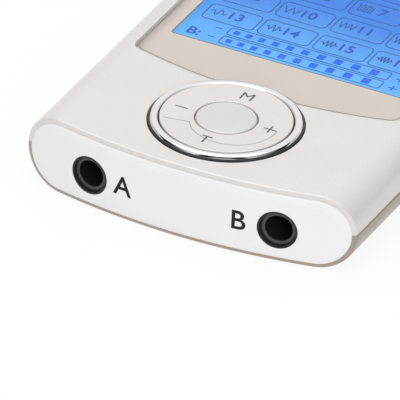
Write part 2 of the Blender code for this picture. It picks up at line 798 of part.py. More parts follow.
def main_board(look):
    notch_half = USB_SIZE[0] / 2 + GAP
    notch_y = USB_Y[0] - GAP
    half_outline = [
        (BOARD_TONGUE, BOARD_FRONT),
        (BOARD_TONGUE, BOARD_NOTCH_Y),
        (BOARD_HALF, BOARD_NOTCH_Y),
        (BOARD_HALF, BOARD_REAR),
        (notch_half, BOARD_REAR),
        (notch_half, notch_y),
    ]
    outline = half_outline + [(-x, y) for x, y in reversed(half_outline)]
    made = piece("main_board", prism(outline, *BOARD_Z), look)
    cut(made, at_bosses(BOARD_HOLE, 0.0, CASE_HEIGHT, 16), "board_holes")


def leaded_chip(name, centre, size, height, pins, look):
    """A moulded chip under the board with a row of leads along its two long sides."""
    made = piece(name, middle_box(centre, size, (UNDER - height, UNDER)), look)
    pitch = size[1] / pins
    lead_z = (UNDER - height / 2, UNDER - LEAD_FOOT)
    leads = []
    for side in (-1, 1):
        x = centre[0] + side * (size[0] + LEAD_REACH - LEAD_ROOT) / 2
        for pin in range(pins):
            y = centre[1] - size[1] / 2 + pitch * (pin + 0.5)
            leads.append(middle_box((x, y), (LEAD_REACH + LEAD_ROOT, pitch / 2), lead_z))
    join(made, group(leads), f"{name}_leads")


def transformer(channel, winding_look, core_look):
    """A low ferrite core round a winding."""
    centre = (jack_side(channel) * TRANSFORMER_AT[0], TRANSFORMER_AT[1])
    *core_size, height = TRANSFORMER_CORE
    middle = UNDER - height / 2
    body = middle_box(centre, core_size, (UNDER - height, UNDER))
    core = piece(f"transformer_{channel}_core", body, core_look)
    width, rise = CORE_WINDOW
    room = middle_box(centre, (width, core_size[1] + PAST), (middle - rise / 2, middle + rise / 2))
    cut(core, room, f"transformer_{channel}_window")
    *wound_size, rise = WINDING
    turns = middle_box(centre, wound_size, (middle - rise / 2, middle + rise / 2))
    winding = piece(f"transformer_{channel}_winding", turns, winding_look)
    bevel = winding.modifiers.new("wire_corners", "BEVEL")
    bevel.width = WINDING_CORNER
    bevel.segments = 2


def boost_capacitors(look):
    for side, name in ((-1, "left"), (1, "right")):
        can = rod(CAPACITOR_RADIUS, *CAPACITOR_Y, steps=CAN_STEPS)
        can = along_y(can, side * CAPACITOR_X, UNDER - CAPACITOR_RADIUS)
        piece(f"boost_capacitor_{name}", can, look)


def under_board_can(name, centre, radius, height, look):
    shape = rod(radius, UNDER - height, UNDER, CAN_STEPS)
    piece(name, moved(shape, (*centre, 0.0)), look)


def crystal(look):
    x, y, height = CRYSTAL
    piece("crystal", rounded_box(x, y, (UNDER - height, UNDER), CRYSTAL_CORNER), look)


# ---------------------------------------------------------------- battery

def battery_cell(look):
    cell = rounded_box((-CELL_HALF, CELL_HALF), CELL_Y, CELL_Z, CELL_CORNER)
    piece("battery_cell", cell, look)


def battery_pad(look):
    pad = box((-FOAM_HALF, FOAM_HALF), FOAM_Y, (FLOOR_TOP + GAP, CELL_Z[0] - GAP))
    piece("battery_pad", pad, look)


def protection_board(look):
    piece("protection_board", box(*PROTECTION), look)


def battery_connector(look):
    piece("battery_connector", box(CONNECTOR_X, CONNECTOR_Y, CONNECTOR_Z), look)


def battery_lead(colour, look):
    """One lead of the cell, from the protection board to the connector, in a flat S."""
    name = f"battery_lead_{colour}"
    start_x, end_x = LEAD_RUNS[colour]
    start = Vector((start_x, PROTECTION[1][1] + GAP, LEAD_Z[0]))
    end = Vector((end_x, CONNECTOR_Y[0] - GAP, LEAD_Z[1]))
    points = []
    for step in range(LEAD_STEPS + 1):
        part = step / LEAD_STEPS
        ease = part * part * (3 - 2 * part)
        points.append((
            start.x + (end.x - start.x) * ease,
            start.y + (end.y - start.y) * part,
            start.z + (end.z - start.z) * ease,
        ))
    curve = bpy.data.curves.new(name, "CURVE")
    curve.dimensions = "3D"
    curve.bevel_depth = LEAD_RADIUS
    curve.bevel_resolution = 2
    curve.use_fill_caps = True
    spline = curve.splines.new("POLY")
    spline.points.add(len(points) - 1)
    for point, place in zip(spline.points, points):
        point.co = (*place, 1.0)
    curve.materials.append(look)
    made = bpy.data.objects.new(name, curve)
    bpy.context.scene.collection.objects.link(made)


# ---------------------------------------------------------------- screws and label

def case_screws(look):
    low, high = SCREW_HEAD_Z
    profile = [
        (0.0, low),
        (SCREW_HEAD - SCREW_EDGE, low),
        (SCREW_HEAD, low + SCREW_EDGE),
        (SCREW_HEAD, high),
        (SCREW_SHANK, high),
        (SCREW_SHANK, SCREW_TIP - SCREW_POINT),
        (0.0, SCREW_TIP),
    ]
    names = ("front_left", "front_right", "rear_left", "rear_right")
    for name, (x, y) in zip(names, boss_places()):
        screw = moved(turned(profile, 16), (x, y, 0.0))
        piece(f"case_screw_{name}", screw, look, (x, y, 0.0))


def rear_label(look):
    plate = rounded_box((-LABEL_HALF, LABEL_HALF), LABEL_Y, LABEL_Z, LABEL_CORNER)
    piece("rear_label", plate, look)


def main():
    clear_scene()
    pearl = finish("pearl_silver", (0.78, 0.76, 0.73), 0.32, 0.35)
    champagne = finish("champagne", (0.40, 0.35, 0.30), 0.36, 0.6)
    white = finish("white_plastic", (0.86, 0.86, 0.86), 0.35)
    clear = finish("clear_window", (0.95, 0.95, 0.95), 0.05, alpha=0.2)
    beige = finish("mask_beige", (0.66, 0.60, 0.53), 0.4, 0.3)
    screen = finish("lcd_blue", (0.10, 0.32, 0.95), 0.15)
    milky = finish("milky_plastic", (0.85, 0.87, 0.9), 0.4)
    chrome = finish("chrome", (0.85, 0.85, 0.87), 0.06, 1.0)
    silver = finish("pad_silver", (0.76, 0.74, 0.71), 0.34, 0.5)
    pale = finish("button_pale", (0.76, 0.77, 0.76), 0.3, 0.2)
    black = finish("black_plastic", (0.02, 0.02, 0.02), 0.35)
    silicone = finish("silicone", (0.55, 0.56, 0.58), 0.6)
    steel = finish("steel", (0.6, 0.6, 0.62), 0.3, 1.0)
    brass = finish("contact_gold", (0.80, 0.62, 0.28), 0.25, 1.0)
    green = finish("board_green", (0.03, 0.20, 0.09), 0.4)
    ferrite = finish("ferrite", (0.06, 0.06, 0.07), 0.6)
    tape = finish("winding_tape", (0.72, 0.52, 0.08), 0.45)
    foil = finish("pouch_foil", (0.70, 0.71, 0.73), 0.3, 0.8)
    foam = finish("foam", (0.10, 0.10, 0.11), 0.9)
    red = finish("red_lead", (0.60, 0.03, 0.02), 0.4)
    paper = finish("label_silver", (0.72, 0.72, 0.72), 0.45, 0.3)

    upper_shell(pearl)
    lower_shell(champagne)
    front_end_cap(white)
    rear_end_cap(white)

    display_window(clear)
    window_mask(beige)
    lcd_glass(screen)
    lcd_frame(milky)
    lcd_light_guide(milky)
    backlight_bar(white)
    elastomer_strip(silicone)

    pivot = (0.0, DIAL_Y, PAD_PIVOT_Z)
    dial_ring(chrome)
    nav_disc(silver, joint_empty("pad_tilt_left_right", pivot))
    pad_actuator(silicone, joint_empty("pad_tilt_up_down", pivot))
    centre_button(pale)
    tact_switches(steel)

    for channel in ("a", "b"):
        output_jack(channel, black)
        jack_pin(channel, brass)
        jack_spring(channel, brass)
        transformer(channel, tape, ferrite)
    usb_port_shell(steel)
    usb_port_insulator(black)

    main_board(green)
    leaded_chip("microcontroller", *MICROCONTROLLER, black)
    leaded_chip("output_driver", *OUTPUT_DRIVER, black)
    leaded_chip("charger_chip", *CHARGER_CHIP, black)
    boost_capacitors(foil)
    under_board_can("boost_inductor", *INDUCTOR, ferrite)
    under_board_can("buzzer", *BUZZER, black)
    crystal(steel)

    battery_cell(foil)
    battery_pad(foam)
    protection_board(green)
    battery_connector(white)
    battery_lead("red", red)
    battery_lead("black", foam)

    case_screws(steel)
    rear_label(paper)


main()
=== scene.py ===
import json
from math import acos, atan2, copysign, cos, degrees, pi, radians, sin, sqrt, tan

import bmesh
import bpy
import numpy as np
from mathutils import Matrix, Vector
from mathutils.geometry import delaunay_2d_cdt

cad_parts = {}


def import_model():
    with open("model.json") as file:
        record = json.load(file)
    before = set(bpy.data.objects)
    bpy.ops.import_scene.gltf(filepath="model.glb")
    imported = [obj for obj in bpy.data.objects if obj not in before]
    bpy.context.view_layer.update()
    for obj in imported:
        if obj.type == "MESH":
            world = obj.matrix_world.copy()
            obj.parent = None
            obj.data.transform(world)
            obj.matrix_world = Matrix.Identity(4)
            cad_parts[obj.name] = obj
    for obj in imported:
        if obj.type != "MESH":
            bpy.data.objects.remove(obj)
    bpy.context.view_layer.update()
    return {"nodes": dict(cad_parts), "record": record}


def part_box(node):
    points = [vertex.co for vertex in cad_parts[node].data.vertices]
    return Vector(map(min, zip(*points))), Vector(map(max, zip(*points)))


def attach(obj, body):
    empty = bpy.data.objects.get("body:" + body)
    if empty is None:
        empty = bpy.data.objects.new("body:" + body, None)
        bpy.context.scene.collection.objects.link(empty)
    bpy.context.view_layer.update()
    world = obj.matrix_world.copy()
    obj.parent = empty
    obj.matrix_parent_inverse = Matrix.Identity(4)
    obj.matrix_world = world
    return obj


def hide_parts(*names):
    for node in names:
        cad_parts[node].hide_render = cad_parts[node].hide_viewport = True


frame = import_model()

MM = 0.001

# ---- places, read from the frame

upper_low, upper_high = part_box("upper_shell")
lower_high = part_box("lower_shell")[1]
front_low, front_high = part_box("front_end_cap")
ring_low, ring_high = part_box("dial_ring")
disc_low, disc_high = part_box("nav_disc")
button_low, button_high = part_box("centre_button")
lens_low, lens_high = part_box("display_window")
mask_low, mask_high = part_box("window_mask")
glass_low, glass_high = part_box("lcd_glass")

CASE_HEIGHT = upper_high.z
SIDE_RADIUS = CASE_HEIGHT / 2
MIDDLE = CASE_HEIGHT / 2
FLAT = upper_high.x - SIDE_RADIUS  # half the flat part of the section
PARTING = (upper_low.z + lower_high.z) / 2
CASE_END = -front_low.y  # half the length, over the caps
SET_BACK = CASE_END - upper_high.y  # the shells end this far behind the caps
DIAL = Vector((0.0, (ring_low.y + ring_high.y) / 2))
RING_RADIUS = ring_high.x
DISC_TOP = disc_high.z
BUTTON_TOP = button_high.z

# ---- driving dimensions

END_BOW_RADIUS = 93.0 * MM
WALL = 1.3 * MM
CAP_INSET = 0.78 * MM  # mean width of the shell seen round a cap
CAP_DROP = 0.05 * MM  # the caps sit this much below the middle
CAP_FLANGE = 0.27 * MM
CAP_GROOVE = 0.08 * MM  # the fine line between a cap and the shells
SEAM = 0.05 * MM  # half the line between two pieces that touch
TOUCH = 0.01 * MM  # a hair's breadth between parts that rest on each other
PARTING_GAP = 0.01 * MM
FINE, CRISP = 0.1 * MM, 0.05 * MM  # radii of small edges
UPPER_EDGE, LOWER_EDGE = 0.28 * MM, 0.34 * MM  # how far the shells' edges are rounded
WINDOW_LOW_RADIUS = 72.0 * MM
WINDOW_CORNERS = (2.2 * MM, 3.0 * MM)  # lower, upper
WINDOW_EASE = 0.4 * MM  # the window's sides lie this far outside those of the frame's lens
WINDOW_LOW = DIAL.y + 9.6 * MM
DIAL_GAP = 0.07 * MM
VIEW_HALF = 19.25 * MM  # the display's opening in the mask
VIEW_Y = (-18.1 * MM, 30.3 * MM)
END_ZONE = 0.8 * CASE_END  # from here on the walls follow the bow of the ends
STRIP = 0.4 * MM  # facet width where the section curves
SHARP = 38.0  # degrees from which an edge stays sharp
COUNTERBORE, COUNTERBORE_TOP = 2.15 * MM, 2.0 * MM
JACK_HOLE = 3.08 * MM
CHANNELS = ("a", "b")
INK = 0.012 * MM  # thickness of a print, and of a painted shade line
LETTER_CAP = 0.729  # the built-in face's cap height at size 1


def mm(*values):
    """Millimetres, in metres."""
    return tuple(value * MM for value in values)


def put(name, data):
    """A new object in the scene."""
    made = bpy.data.objects.new(name, data)
    bpy.context.scene.collection.objects.link(made)
    return made


def mesh_of(shape, name="part"):
    mesh = bpy.data.meshes.new(name)
    shape.to_mesh(mesh)
    shape.free()
    return mesh


def evaluated(item):
    """A mesh of an object as its curve settings or modifiers make it."""
    bpy.context.view_layer.update()
    graph = bpy.context.evaluated_depsgraph_get()
    return bpy.data.meshes.new_from_object(item.evaluated_get(graph))


# ---- plan loops

def arc(centre, radius, start, end, steps):
    """Points from one angle to another, in degrees, both ends included."""
    turns = np.radians(np.linspace(start, end, steps + 1))
    return [(centre[0] + radius * cos(t), centre[1] + radius * sin(t)) for t in turns]


def circle(centre, radius, steps):
    return arc(centre, radius, 0.0, 360.0, steps)[:-1]


def rounded(corners, steps=8):
    """A loop whose corners (x, y, radius) are rounded by that radius."""
    loop = []
    for index, (x, y, radius) in enumerate(corners):
        here = Vector((x, y))
        if radius == 0.0:
            loop.append((x, y))
            continue
        before = (Vector(corners[index - 1][:2]) - here).normalized()
        after = (Vector(corners[(index + 1) % len(corners)][:2]) - here).normalized()
        half = before.angle(after) / 2
        centre = here + (before + after).normalized() * radius / sin(half)
        start = here + before * radius / tan(half) - centre
        end = here + after * radius / tan(half) - centre
        first = degrees(atan2(start.y, start.x))
        sweep = (degrees(atan2(end.y, end.x)) - first + 180.0) % 360.0 - 180.0
        loop += arc(centre, radius, first, first + sweep, steps)
    return loop


def rectangle(low, high, radius, steps=8):
    (left, bottom), (right, top) = low, high
    corners = [(left, bottom), (right, bottom), (right, top), (left, top)]
    return rounded([(*corner, radius) for corner in corners], steps)


def offset(loop, distance):
    """An anticlockwise loop moved inwards by a distance, or outwards by a negative one."""
    points = np.array(loop)
    along = np.roll(points, -1, 0) - points
    along /= np.linalg.norm(along, axis=1)[:, None]
    normal = np.column_stack([-along[:, 1], along[:, 0]])
    before = np.roll(normal, 1, 0)
    scale = 1 + np.sum(before * normal, axis=1)
    return points + (before + normal) / np.maximum(scale, 0.2)[:, None] * distance


def inside(points, loop):
    """Which of the points lie in the loop, by counting crossings."""
    a = np.array(loop)
    b = np.roll(a, -1, 0)
    x, y = points[:, 0][:, None], points[:, 1][:, None]
    spans = (a[:, 1] > y) != (b[:, 1] > y)
    rise = np.where(b[:, 1] == a[:, 1], 1.0, b[:, 1] - a[:, 1])
    crossing = a[:, 0] + (y - a[:, 1]) / rise * (b[:, 0] - a[:, 0])
    return np.sum(spans & (x < crossing), axis=1) % 2 == 1


def end_bow(x):
    """How far a bowed end lies behind its foremost point."""
    return END_BOW_RADIUS - np.sqrt(END_BOW_RADIUS**2 - np.square(x))


# ---- plates

def quarter_round(radius, steps=5):
    """(offset, depth) down a rounded edge, from the wall to the face."""
    turns = [pi / 2 * step / steps for step in range(steps + 1)]
    return [(radius * (1 - cos(t)), radius * (1 - sin(t))) for t in turns]


def shoulder(radius, level, reach, drop, first, steps):
    """(radius, level) along an elliptic shoulder, from an angle of it to the full reach and drop."""
    turns = np.radians(np.linspace(first, 90, steps))
    return [(radius + reach * sin(t), level + drop * (1 - cos(t))) for t in turns]


def fill(shape, rings):
    """Faces between an outer ring of vertices and the rings of its holes, all level."""
    loops = [np.array([vert.co.xy for vert in ring]) for ring in rings]
    points = [Vector(point / MM) for loop in loops for point in loop]
    edges, start = [], 0
    for loop in loops:
        count = len(loop)
        edges += [(start + i, start + (i + 1) % count) for i in range(count)]
        start += count
    places, _, faces, origins, _, _ = delaunay_2d_cdt(points, edges, [], 0, 1e-7)
    verts = [vert for ring in rings for vert in ring]
    middles = np.array([np.mean([places[i] for i in face], axis=0) for face in faces]) * MM
    keep = inside(middles, loops[0])
    for hole in loops[1:]:
        keep &= ~inside(middles, hole)
    for face, kept in zip(faces, keep):
        if kept:
            shape.faces.new([verts[origins[i][0]] for i in face])


def bridge(shape, ring, following):
    """Faces between two rings of vertices. A ring can be one vertex over and over."""
    for i in range(len(ring)):
        j = (i + 1) % len(ring)
        corners = list(dict.fromkeys((ring[i], ring[j], following[j], following[i])))
        if len(corners) > 2:
            shape.faces.new(corners)


def walls(shape, loop, profile, side):
    """Rings down a profile of (offset, depth) round a loop, moved in (side 1) or out (-1)."""
    rings = [
        [shape.verts.new((x, y, -depth)) for x, y in offset(loop, side * distance)]
        for distance, depth in profile
    ]
    for ring, following in zip(rings, rings[1:]):
        bridge(shape, ring, following)
    return rings


def plate(outline, thickness, edge, holes=(), under=None):
    """A flat plate with rounded edges: its face is at z 0 and its depth runs down -z.

    edge is the face's (offset, depth) profile. A hole is (loop, profile, depth); one with a depth
    is a pocket with a floor, and one with None goes through.
    """
    shape = bmesh.new()
    foot = [(distance, thickness - depth) for distance, depth in reversed(under or [(0.0, 0.0)])]
    outer = walls(shape, outline, foot + list(edge), 1)
    tops, bottoms = [outer[-1]], [outer[0]]
    for loop, profile, depth in holes:
        rings = walls(shape, loop, [(0.0, depth or thickness)] + list(profile), -1)
        tops.append(rings[-1])
        if depth:
            fill(shape, [rings[0]])
        else:
            bottoms.append(rings[0])
    fill(shape, tops)
    fill(shape, bottoms)
    return shape


def slice_x(shape, places):
    """Cuts a shape across at each x, so that it can be bent there."""
    for x in places:
        geometry = shape.verts[:] + shape.edges[:] + shape.faces[:]
        bmesh.ops.bisect_plane(
            shape, geom=geometry, dist=1e-8, plane_co=(x, 0, 0), plane_no=(1, 0, 0)
        )


def bend(shape, rule):
    """Moves every vertex by a rule."""
    for vert in shape.verts:
        vert.co = rule(vert.co)
    bmesh.ops.recalc_face_normals(shape, faces=shape.faces)
    return shape


def turned(profile, steps, at=(0.0, 0.0)):
    """A closed profile of (radius, height) turned about an upright axis."""
    shape = bmesh.new()
    rings = []
    for radius, height in profile:
        if radius < 1e-9:
            rings.append([shape.verts.new((*at, height))] * steps)
            continue
        rings.append([shape.verts.new((x, y, height)) for x, y in circle(at, radius, steps)])
    for ring, following in zip(rings, rings[1:] + rings[:1]):
        bridge(shape, ring, following)
    bmesh.ops.recalc_face_normals(shape, faces=shape.faces)
    return shape


def lift(shape, height):
    return bend(shape, lambda place: place + Vector((0, 0, height)))


def merge(shapes):
    whole = bmesh.new()
    for shape in shapes:
        mesh = mesh_of(shape)
        whole.from_mesh(mesh)
        bpy.data.meshes.remove(mesh)
    return whole


# ---- prints and painted shade lines

def ink(level):
    """The heights between which prints and painted shade lines stand on a face."""
    return level - INK, level + INK


def ribbon(shape, path, width, span, closed=False):
    """A flat line of one width along a plan path, between the two heights of its span."""
    low, high = span
    points = np.array(path, float)
    after = np.roll(points, -1, 0) - points
    if not closed:
        after[-1] = after[-2]
    after /= np.linalg.norm(after, axis=1)[:, None]
    before = np.roll(after, 1, 0)
    if not closed:
        before[0] = after[0]
    normal = np.column_stack([-(after + before)[:, 1], (after + before)[:, 0]])
    normal /= np.maximum(1 + np.sum(after * before, axis=1), 0.3)[:, None]
    left, right = points + normal * width / 2, points - normal * width / 2
    rows = [
        [shape.verts.new(co) for co in ((*a, low), (*b, low), (*b, high), (*a, high))]
        for a, b in zip(left, right)
    ]
    for row, following in zip(rows, rows[1:] + (rows[:1] if closed else [])):
        bridge(shape, row, following)
    if not closed:
        shape.faces.new(rows[0])
        shape.faces.new(rows[-1])
    return shape


def patch(shape, loop, span):
    """A flat filled shape between the two heights of its span."""
    bottom, top = [[shape.verts.new((*point, height)) for point in loop] for height in span]
    shape.faces.new(bottom)
    shape.faces.new(top)
    bridge(shape, bottom, top)


def letters(shape, text, centre, height, span, bolder=0.0):
    """Characters of one cap height, centred on a plan point."""
    low, high = span
    curve = bpy.data.curves.new("letters", "FONT")
    curve.body = text
    curve.resolution_u = 6
    curve.extrude = 0.5
    curve.offset = bolder
    carrier = put("letters", curve)
    mesh = evaluated(carrier)
    bpy.data.objects.remove(carrier)
    bpy.data.curves.remove(curve)
    places = np.array([vert.co for vert in mesh.vertices])
    middle = (places.min(0) + places.max(0)) / 2
    for vert in mesh.vertices:
        x = centre[0] + (vert.co.x - middle[0]) * height / LETTER_CAP
        y = centre[1] + (vert.co.y - middle[1]) * height / LETTER_CAP
        vert.co = (x, y, high if vert.co.z > 0 else low)
    shape.from_mesh(mesh)
    bpy.data.meshes.remove(mesh)
    bmesh.ops.remove_doubles(shape, verts=shape.verts, dist=1e-8)


# ---- materials

FLAKE_SIZE = 0.09 * MM
DISPLAY_FADE = (VIEW_Y[0], 5.0 * MM)  # the display's colour drifts between these places
MIX_COLOURS, MIX_RESULT = 6, 2  # a mix node's first input and its output for colours
finishes = {}


def set_input(tree, socket, value):
    """Links an input to an output, or gives it a value; a colour is always opaque."""
    if isinstance(value, bpy.types.NodeSocket):
        tree.links.new(value, socket)
    else:
        socket.default_value = (*value[:3], 1.0) if socket.type == "RGBA" else value


def fill_in(tree, node, *inputs, **values):
    """Sets a node's first inputs in order, and its properties and other inputs by name.

    In a name, _ stands for a space.
    """
    for key, value in values.items():
        if hasattr(node, key):
            setattr(node, key, value)
        else:
            set_input(tree, node.inputs[key.replace("_", " ")], value)
    for socket, value in zip(node.inputs, inputs):
        set_input(tree, socket, value)
    return node


def add(tree, kind, *inputs, **values):
    """Adds a node and gives back its outputs."""
    return fill_in(tree, tree.nodes.new("ShaderNode" + kind), *inputs, **values).outputs


def node_tree(name):
    """A material, kept as the finish of that name, with its tree and its main shader."""
    made = bpy.data.materials.new(name)
    made.use_nodes = True
    finishes[name] = made
    return made.node_tree, made.node_tree.nodes["Principled BSDF"]


def on_piece(tree):
    """Places that are fixed to the piece."""
    return add(tree, "TexCoord")["Object"]


def object_noise(tree, size, detail=3.0, stretch=(1.0, 1.0, 1.0)):
    """Noise whose features are about one size, in metres."""
    scaled = add(tree, "Mapping", Vector=on_piece(tree), Scale=stretch)["Vector"]
    noise = add(tree, "TexNoise", Vector=scaled, Scale=1 / size, Detail=detail)
    return noise["Fac"]


def ranged(tree, value, low, high, source=(0.35, 0.65)):
    return add(tree, "MapRange", value, *source, low, high)[0]


def blend_colours(tree, share, first, second, blend_type="MIX"):
    mix = tree.nodes.new("ShaderNodeMix")
    fill_in(tree, mix, share, data_type="RGBA", blend_type=blend_type)
    for socket, value in zip(mix.inputs[MIX_COLOURS:], (first, second)):
        set_input(tree, socket, value)
    return mix.outputs[MIX_RESULT]


def tint(tree, shader, colour, share, blend_type):
    """Works a pattern into the base colour that a finish already has."""
    base = shader.inputs["Base Color"].links[0].from_socket
    fill_in(tree, shader, Base_Color=blend_colours(tree, share, base, colour, blend_type))


def shade(colour, factor):
    return tuple(min(1.0, part * factor) for part in colour)


def surface(name, colour, roughness, metallic=0.0, coat=0.0, vary=0.03, spot=6 * MM,
            grain=None, rough_vary=0.0, stretch=(1.0, 1.0, 1.0), specular=0.5):
    """A moulded, painted or plated finish: soft colour drift, and grain as (size, depth)."""
    tree, shader = node_tree(name)
    drift = ranged(tree, object_noise(tree, spot, stretch=stretch), 0.0, 1.0)
    fill_in(
        tree, shader, Roughness=roughness, Metallic=metallic, Specular_IOR_Level=specular,
        Coat_Weight=coat, Coat_Roughness=0.12,
        Base_Color=blend_colours(tree, drift, shade(colour, 1 - vary), shade(colour, 1 + vary)),
    )
    if rough_vary:
        wear = object_noise(tree, spot / 3, 5.0, stretch)
        fill_in(tree, shader, Roughness=ranged(tree, wear, roughness - rough_vary, roughness + rough_vary))
    if grain:
        size, depth = grain
        height = object_noise(tree, size, 2.0, stretch)
        bump = add(tree, "Bump", Distance=depth, Height=height)
        fill_in(tree, shader, Normal=bump["Normal"])
    return tree, shader


def flake_paint(name, colour, roughness, metallic, sparkle, coat=0.25):
    """Metallic paint: tiny flakes of slightly different brightness under a clear coat."""
    tree, shader = surface(
        name, colour, roughness, metallic, coat, vary=0.012, spot=9 * MM,
        grain=(0.5 * MM, 0.0006 * MM), rough_vary=0.03,
    )
    cells = add(tree, "TexVoronoi", Scale=1 / FLAKE_SIZE, Vector=on_piece(tree))
    grey = add(tree, "SeparateColor", cells["Color"])
    tint(tree, shader, grey[0], sparkle, "SOFT_LIGHT")


def clear_plastic(name):
    """A clear hard-coated window: see-through, with the gloss of its surface."""
    tree, shader = node_tree(name)
    tree.nodes.remove(shader)
    facing = add(tree, "LayerWeight", Blend=0.5)["Facing"]
    steep = add(tree, "Math", facing, 5.0, operation="POWER")[0]
    share = add(tree, "Math", steep, 0.45, 0.012, operation="MULTIPLY_ADD")[0]
    smudge = ranged(tree, object_noise(tree, 14 * MM), 0.025, 0.07)
    through = add(tree, "BsdfTransparent", Color=(0.985, 0.99, 0.99))[0]
    gloss = add(tree, "BsdfGlossy", Roughness=smudge)[0]
    mix = add(tree, "MixShader", share, through, gloss)[0]
    fill_in(tree, tree.nodes["Material Output"], mix)


def backlit(name, low_colour, high_colour):
    """The lit display: its colour drifts along the case, with the light guide's faint unevenness."""
    tree, shader = node_tree(name)
    along = ranged(tree, add(tree, "SeparateXYZ", on_piece(tree))["Y"], 0.0, 1.0, DISPLAY_FADE)
    wave = object_noise(tree, 9 * MM, 1.0)
    mixed = add(tree, "Math", wave, 0.25, along, operation="MULTIPLY_ADD")[0]
    fill_in(
        tree, shader, Base_Color=(0.006, 0.016, 0.05), Roughness=0.3, Specular_IOR_Level=0.08,
        Emission_Color=blend_colours(tree, mixed, low_colour, high_colour), Emission_Strength=1.0,
    )


def solder_mask(name):
    """Solder mask over copper: straight tracks show through as a lighter green."""
    tree, shader = surface(name, (0.025, 0.16, 0.07), 0.35, vary=0.1, spot=3 * MM)
    tracks = add(
        tree, "TexBrick", Scale=1 / (7 * MM), Mortar_Size=0.03, Brick_Width=0.9,
        Vector=on_piece(tree), Color1=(1.0, 1.0, 1.0), Color2=(0.82, 0.9, 0.82), Mortar=(1.9, 1.7, 1.5),
    )
    tint(tree, shader, tracks["Color"], 1.0, "MULTIPLY")


flake_paint("pearl_silver", (0.612, 0.589, 0.569), 0.36, 0.25, 0.10)
flake_paint("champagne", (0.305, 0.268, 0.230), 0.38, 0.35, 0.14)
flake_paint("mask_beige", (0.57, 0.508, 0.458), 0.42, 0.2, 0.10, coat=0.0)
flake_paint("pad_silver", (0.60, 0.578, 0.562), 0.36, 0.25, 0.09)
flake_paint("button_pale", (0.545, 0.552, 0.535), 0.30, 0.2, 0.07)
surface(
    "white_plastic", (0.690, 0.690, 0.693), 0.34, coat=0.15, vary=0.008,
    grain=(0.35 * MM, 0.0010 * MM), rough_vary=0.04,
)
surface("milky_plastic", (0.82, 0.85, 0.88), 0.45, vary=0.02)
surface(
    "black_plastic", (0.014, 0.014, 0.015), 0.36, vary=0.15,
    grain=(0.3 * MM, 0.0015 * MM), rough_vary=0.06, specular=0.3,
)
surface("silicone", (0.55, 0.56, 0.58), 0.6, vary=0.04)
surface("chrome", (0.79, 0.79, 0.79), 0.05, 1.0, vary=0.01, rough_vary=0.02)
surface("steel", (0.58, 0.58, 0.60), 0.28, 1.0, vary=0.05, spot=1.5 * MM, stretch=(1.0, 8.0, 1.0))
surface("contact_gold", (0.83, 0.62, 0.26), 0.25, 1.0, vary=0.05, spot=1 * MM)
surface("ferrite", (0.055, 0.055, 0.06), 0.65, vary=0.25, spot=0.4 * MM)
surface("winding_tape", (0.72, 0.50, 0.08), 0.4, vary=0.12, spot=1 * MM, stretch=(1.0, 9.0, 1.0))
surface("pouch_foil", (0.70, 0.71, 0.73), 0.32, 0.8, vary=0.05, spot=2.5 * MM)
surface("foam", (0.06, 0.06, 0.065), 0.9, vary=0.35, spot=0.3 * MM)
surface("red_lead", (0.55, 0.03, 0.02), 0.4, vary=0.08, spot=1 * MM)
surface(
    "label_silver", (0.66, 0.66, 0.66), 0.42, 0.35, vary=0.02, spot=4 * MM, stretch=(0.2, 6.0, 1.0)
)
surface("socket_grey", (0.060, 0.060, 0.062), 0.45, vary=0.1, spot=0.5 * MM, specular=0.3)
# Dark grey: printed marks, and the painted shade line round the display's opening.
surface("print_and_shade_grey", (0.072, 0.062, 0.060), 0.5, vary=0.08, spot=0.6 * MM)
# Dark grey-brown: the pad's printed line, and the painted shade line at the window's edge.
surface("print_and_shade_line", (0.20, 0.18, 0.17), 0.5, vary=0.08, spot=0.6 * MM)
surface("print_black", (0.010, 0.009, 0.009), 0.5, vary=0.1, spot=0.6 * MM, specular=0.2)
solder_mask("board_green")
clear_plastic("clear_window")
backlit("lcd_blue", (0.145, 0.53, 1.0), (0.030, 0.205, 0.76))
backlit("lcd_dark", (0.001, 0.085, 0.54), (0.001, 0.058, 0.44))
backlit("lcd_line", (0.002, 0.085, 0.36), (0.001, 0.055, 0.30))
backlit("lcd_square", (0.001, 0.13, 0.86), (0.001, 0.10, 0.70))


# ---- pieces

def piece(name, shape, slot, replaces=(), look=None, body="case"):
    """A piece of a shape drawn in place, in its slot's finish unless another look is named."""
    bmesh.ops.recalc_face_normals(shape, faces=shape.faces)
    mesh = mesh_of(shape, name)
    mesh.materials.append(finishes[look or slot])
    mesh.shade_smooth()
    mesh.set_sharp_from_angle(angle=radians(SHARP))
    made = put(name, mesh)
    weighted = made.modifiers.new("weighted_normals", "WEIGHTED_NORMAL")
    weighted.keep_sharp = True
    weighted.weight = 60
    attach(made, body)
    if replaces:
        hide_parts(*replaces)


# ---- shells

def section_reach(level):
    """Half the width of a shell laid flat, from the middle to a height on its round side."""
    return FLAT + SIDE_RADIUS * acos((level - MIDDLE) / SIDE_RADIUS)


def section_x(u, radius=SIDE_RADIUS):
    """Where a place on the shell laid flat lies across the case, at a radius on its round sides."""
    turn = (abs(u) - FLAT) / SIDE_RADIUS
    return u if turn <= 0 else copysign(FLAT + radius * sin(turn), u)


def shell_outline(reach):
    """The shell laid flat: two bowed ends and two straight sides."""
    half = [*np.linspace(0.0, FLAT, 24), *np.arange(FLAT + STRIP, reach - STRIP / 2, STRIP), reach]
    stations = [-u for u in half[:0:-1]] + half
    front = [(u, -CASE_END + SET_BACK + end_bow(section_x(u))) for u in stations]
    return front + [(u, -y) for u, y in reversed(front)]


def wrap(mirrored):
    """The rule that wraps a flat shell round the case's section, face up or face down."""
    def rule(place):
        u, y, radius = place.x, place.y, SIDE_RADIUS + place.z
        x = section_x(u, radius)
        z = MIDDLE + radius * cos(max(0.0, (abs(u) - FLAT) / SIDE_RADIUS))
        if abs(y) > END_ZONE:
            y = copysign(abs(y) + end_bow(section_x(u)) - end_bow(x), y)
        return Vector((x, y, CASE_HEIGHT - z if mirrored else z))
    return rule


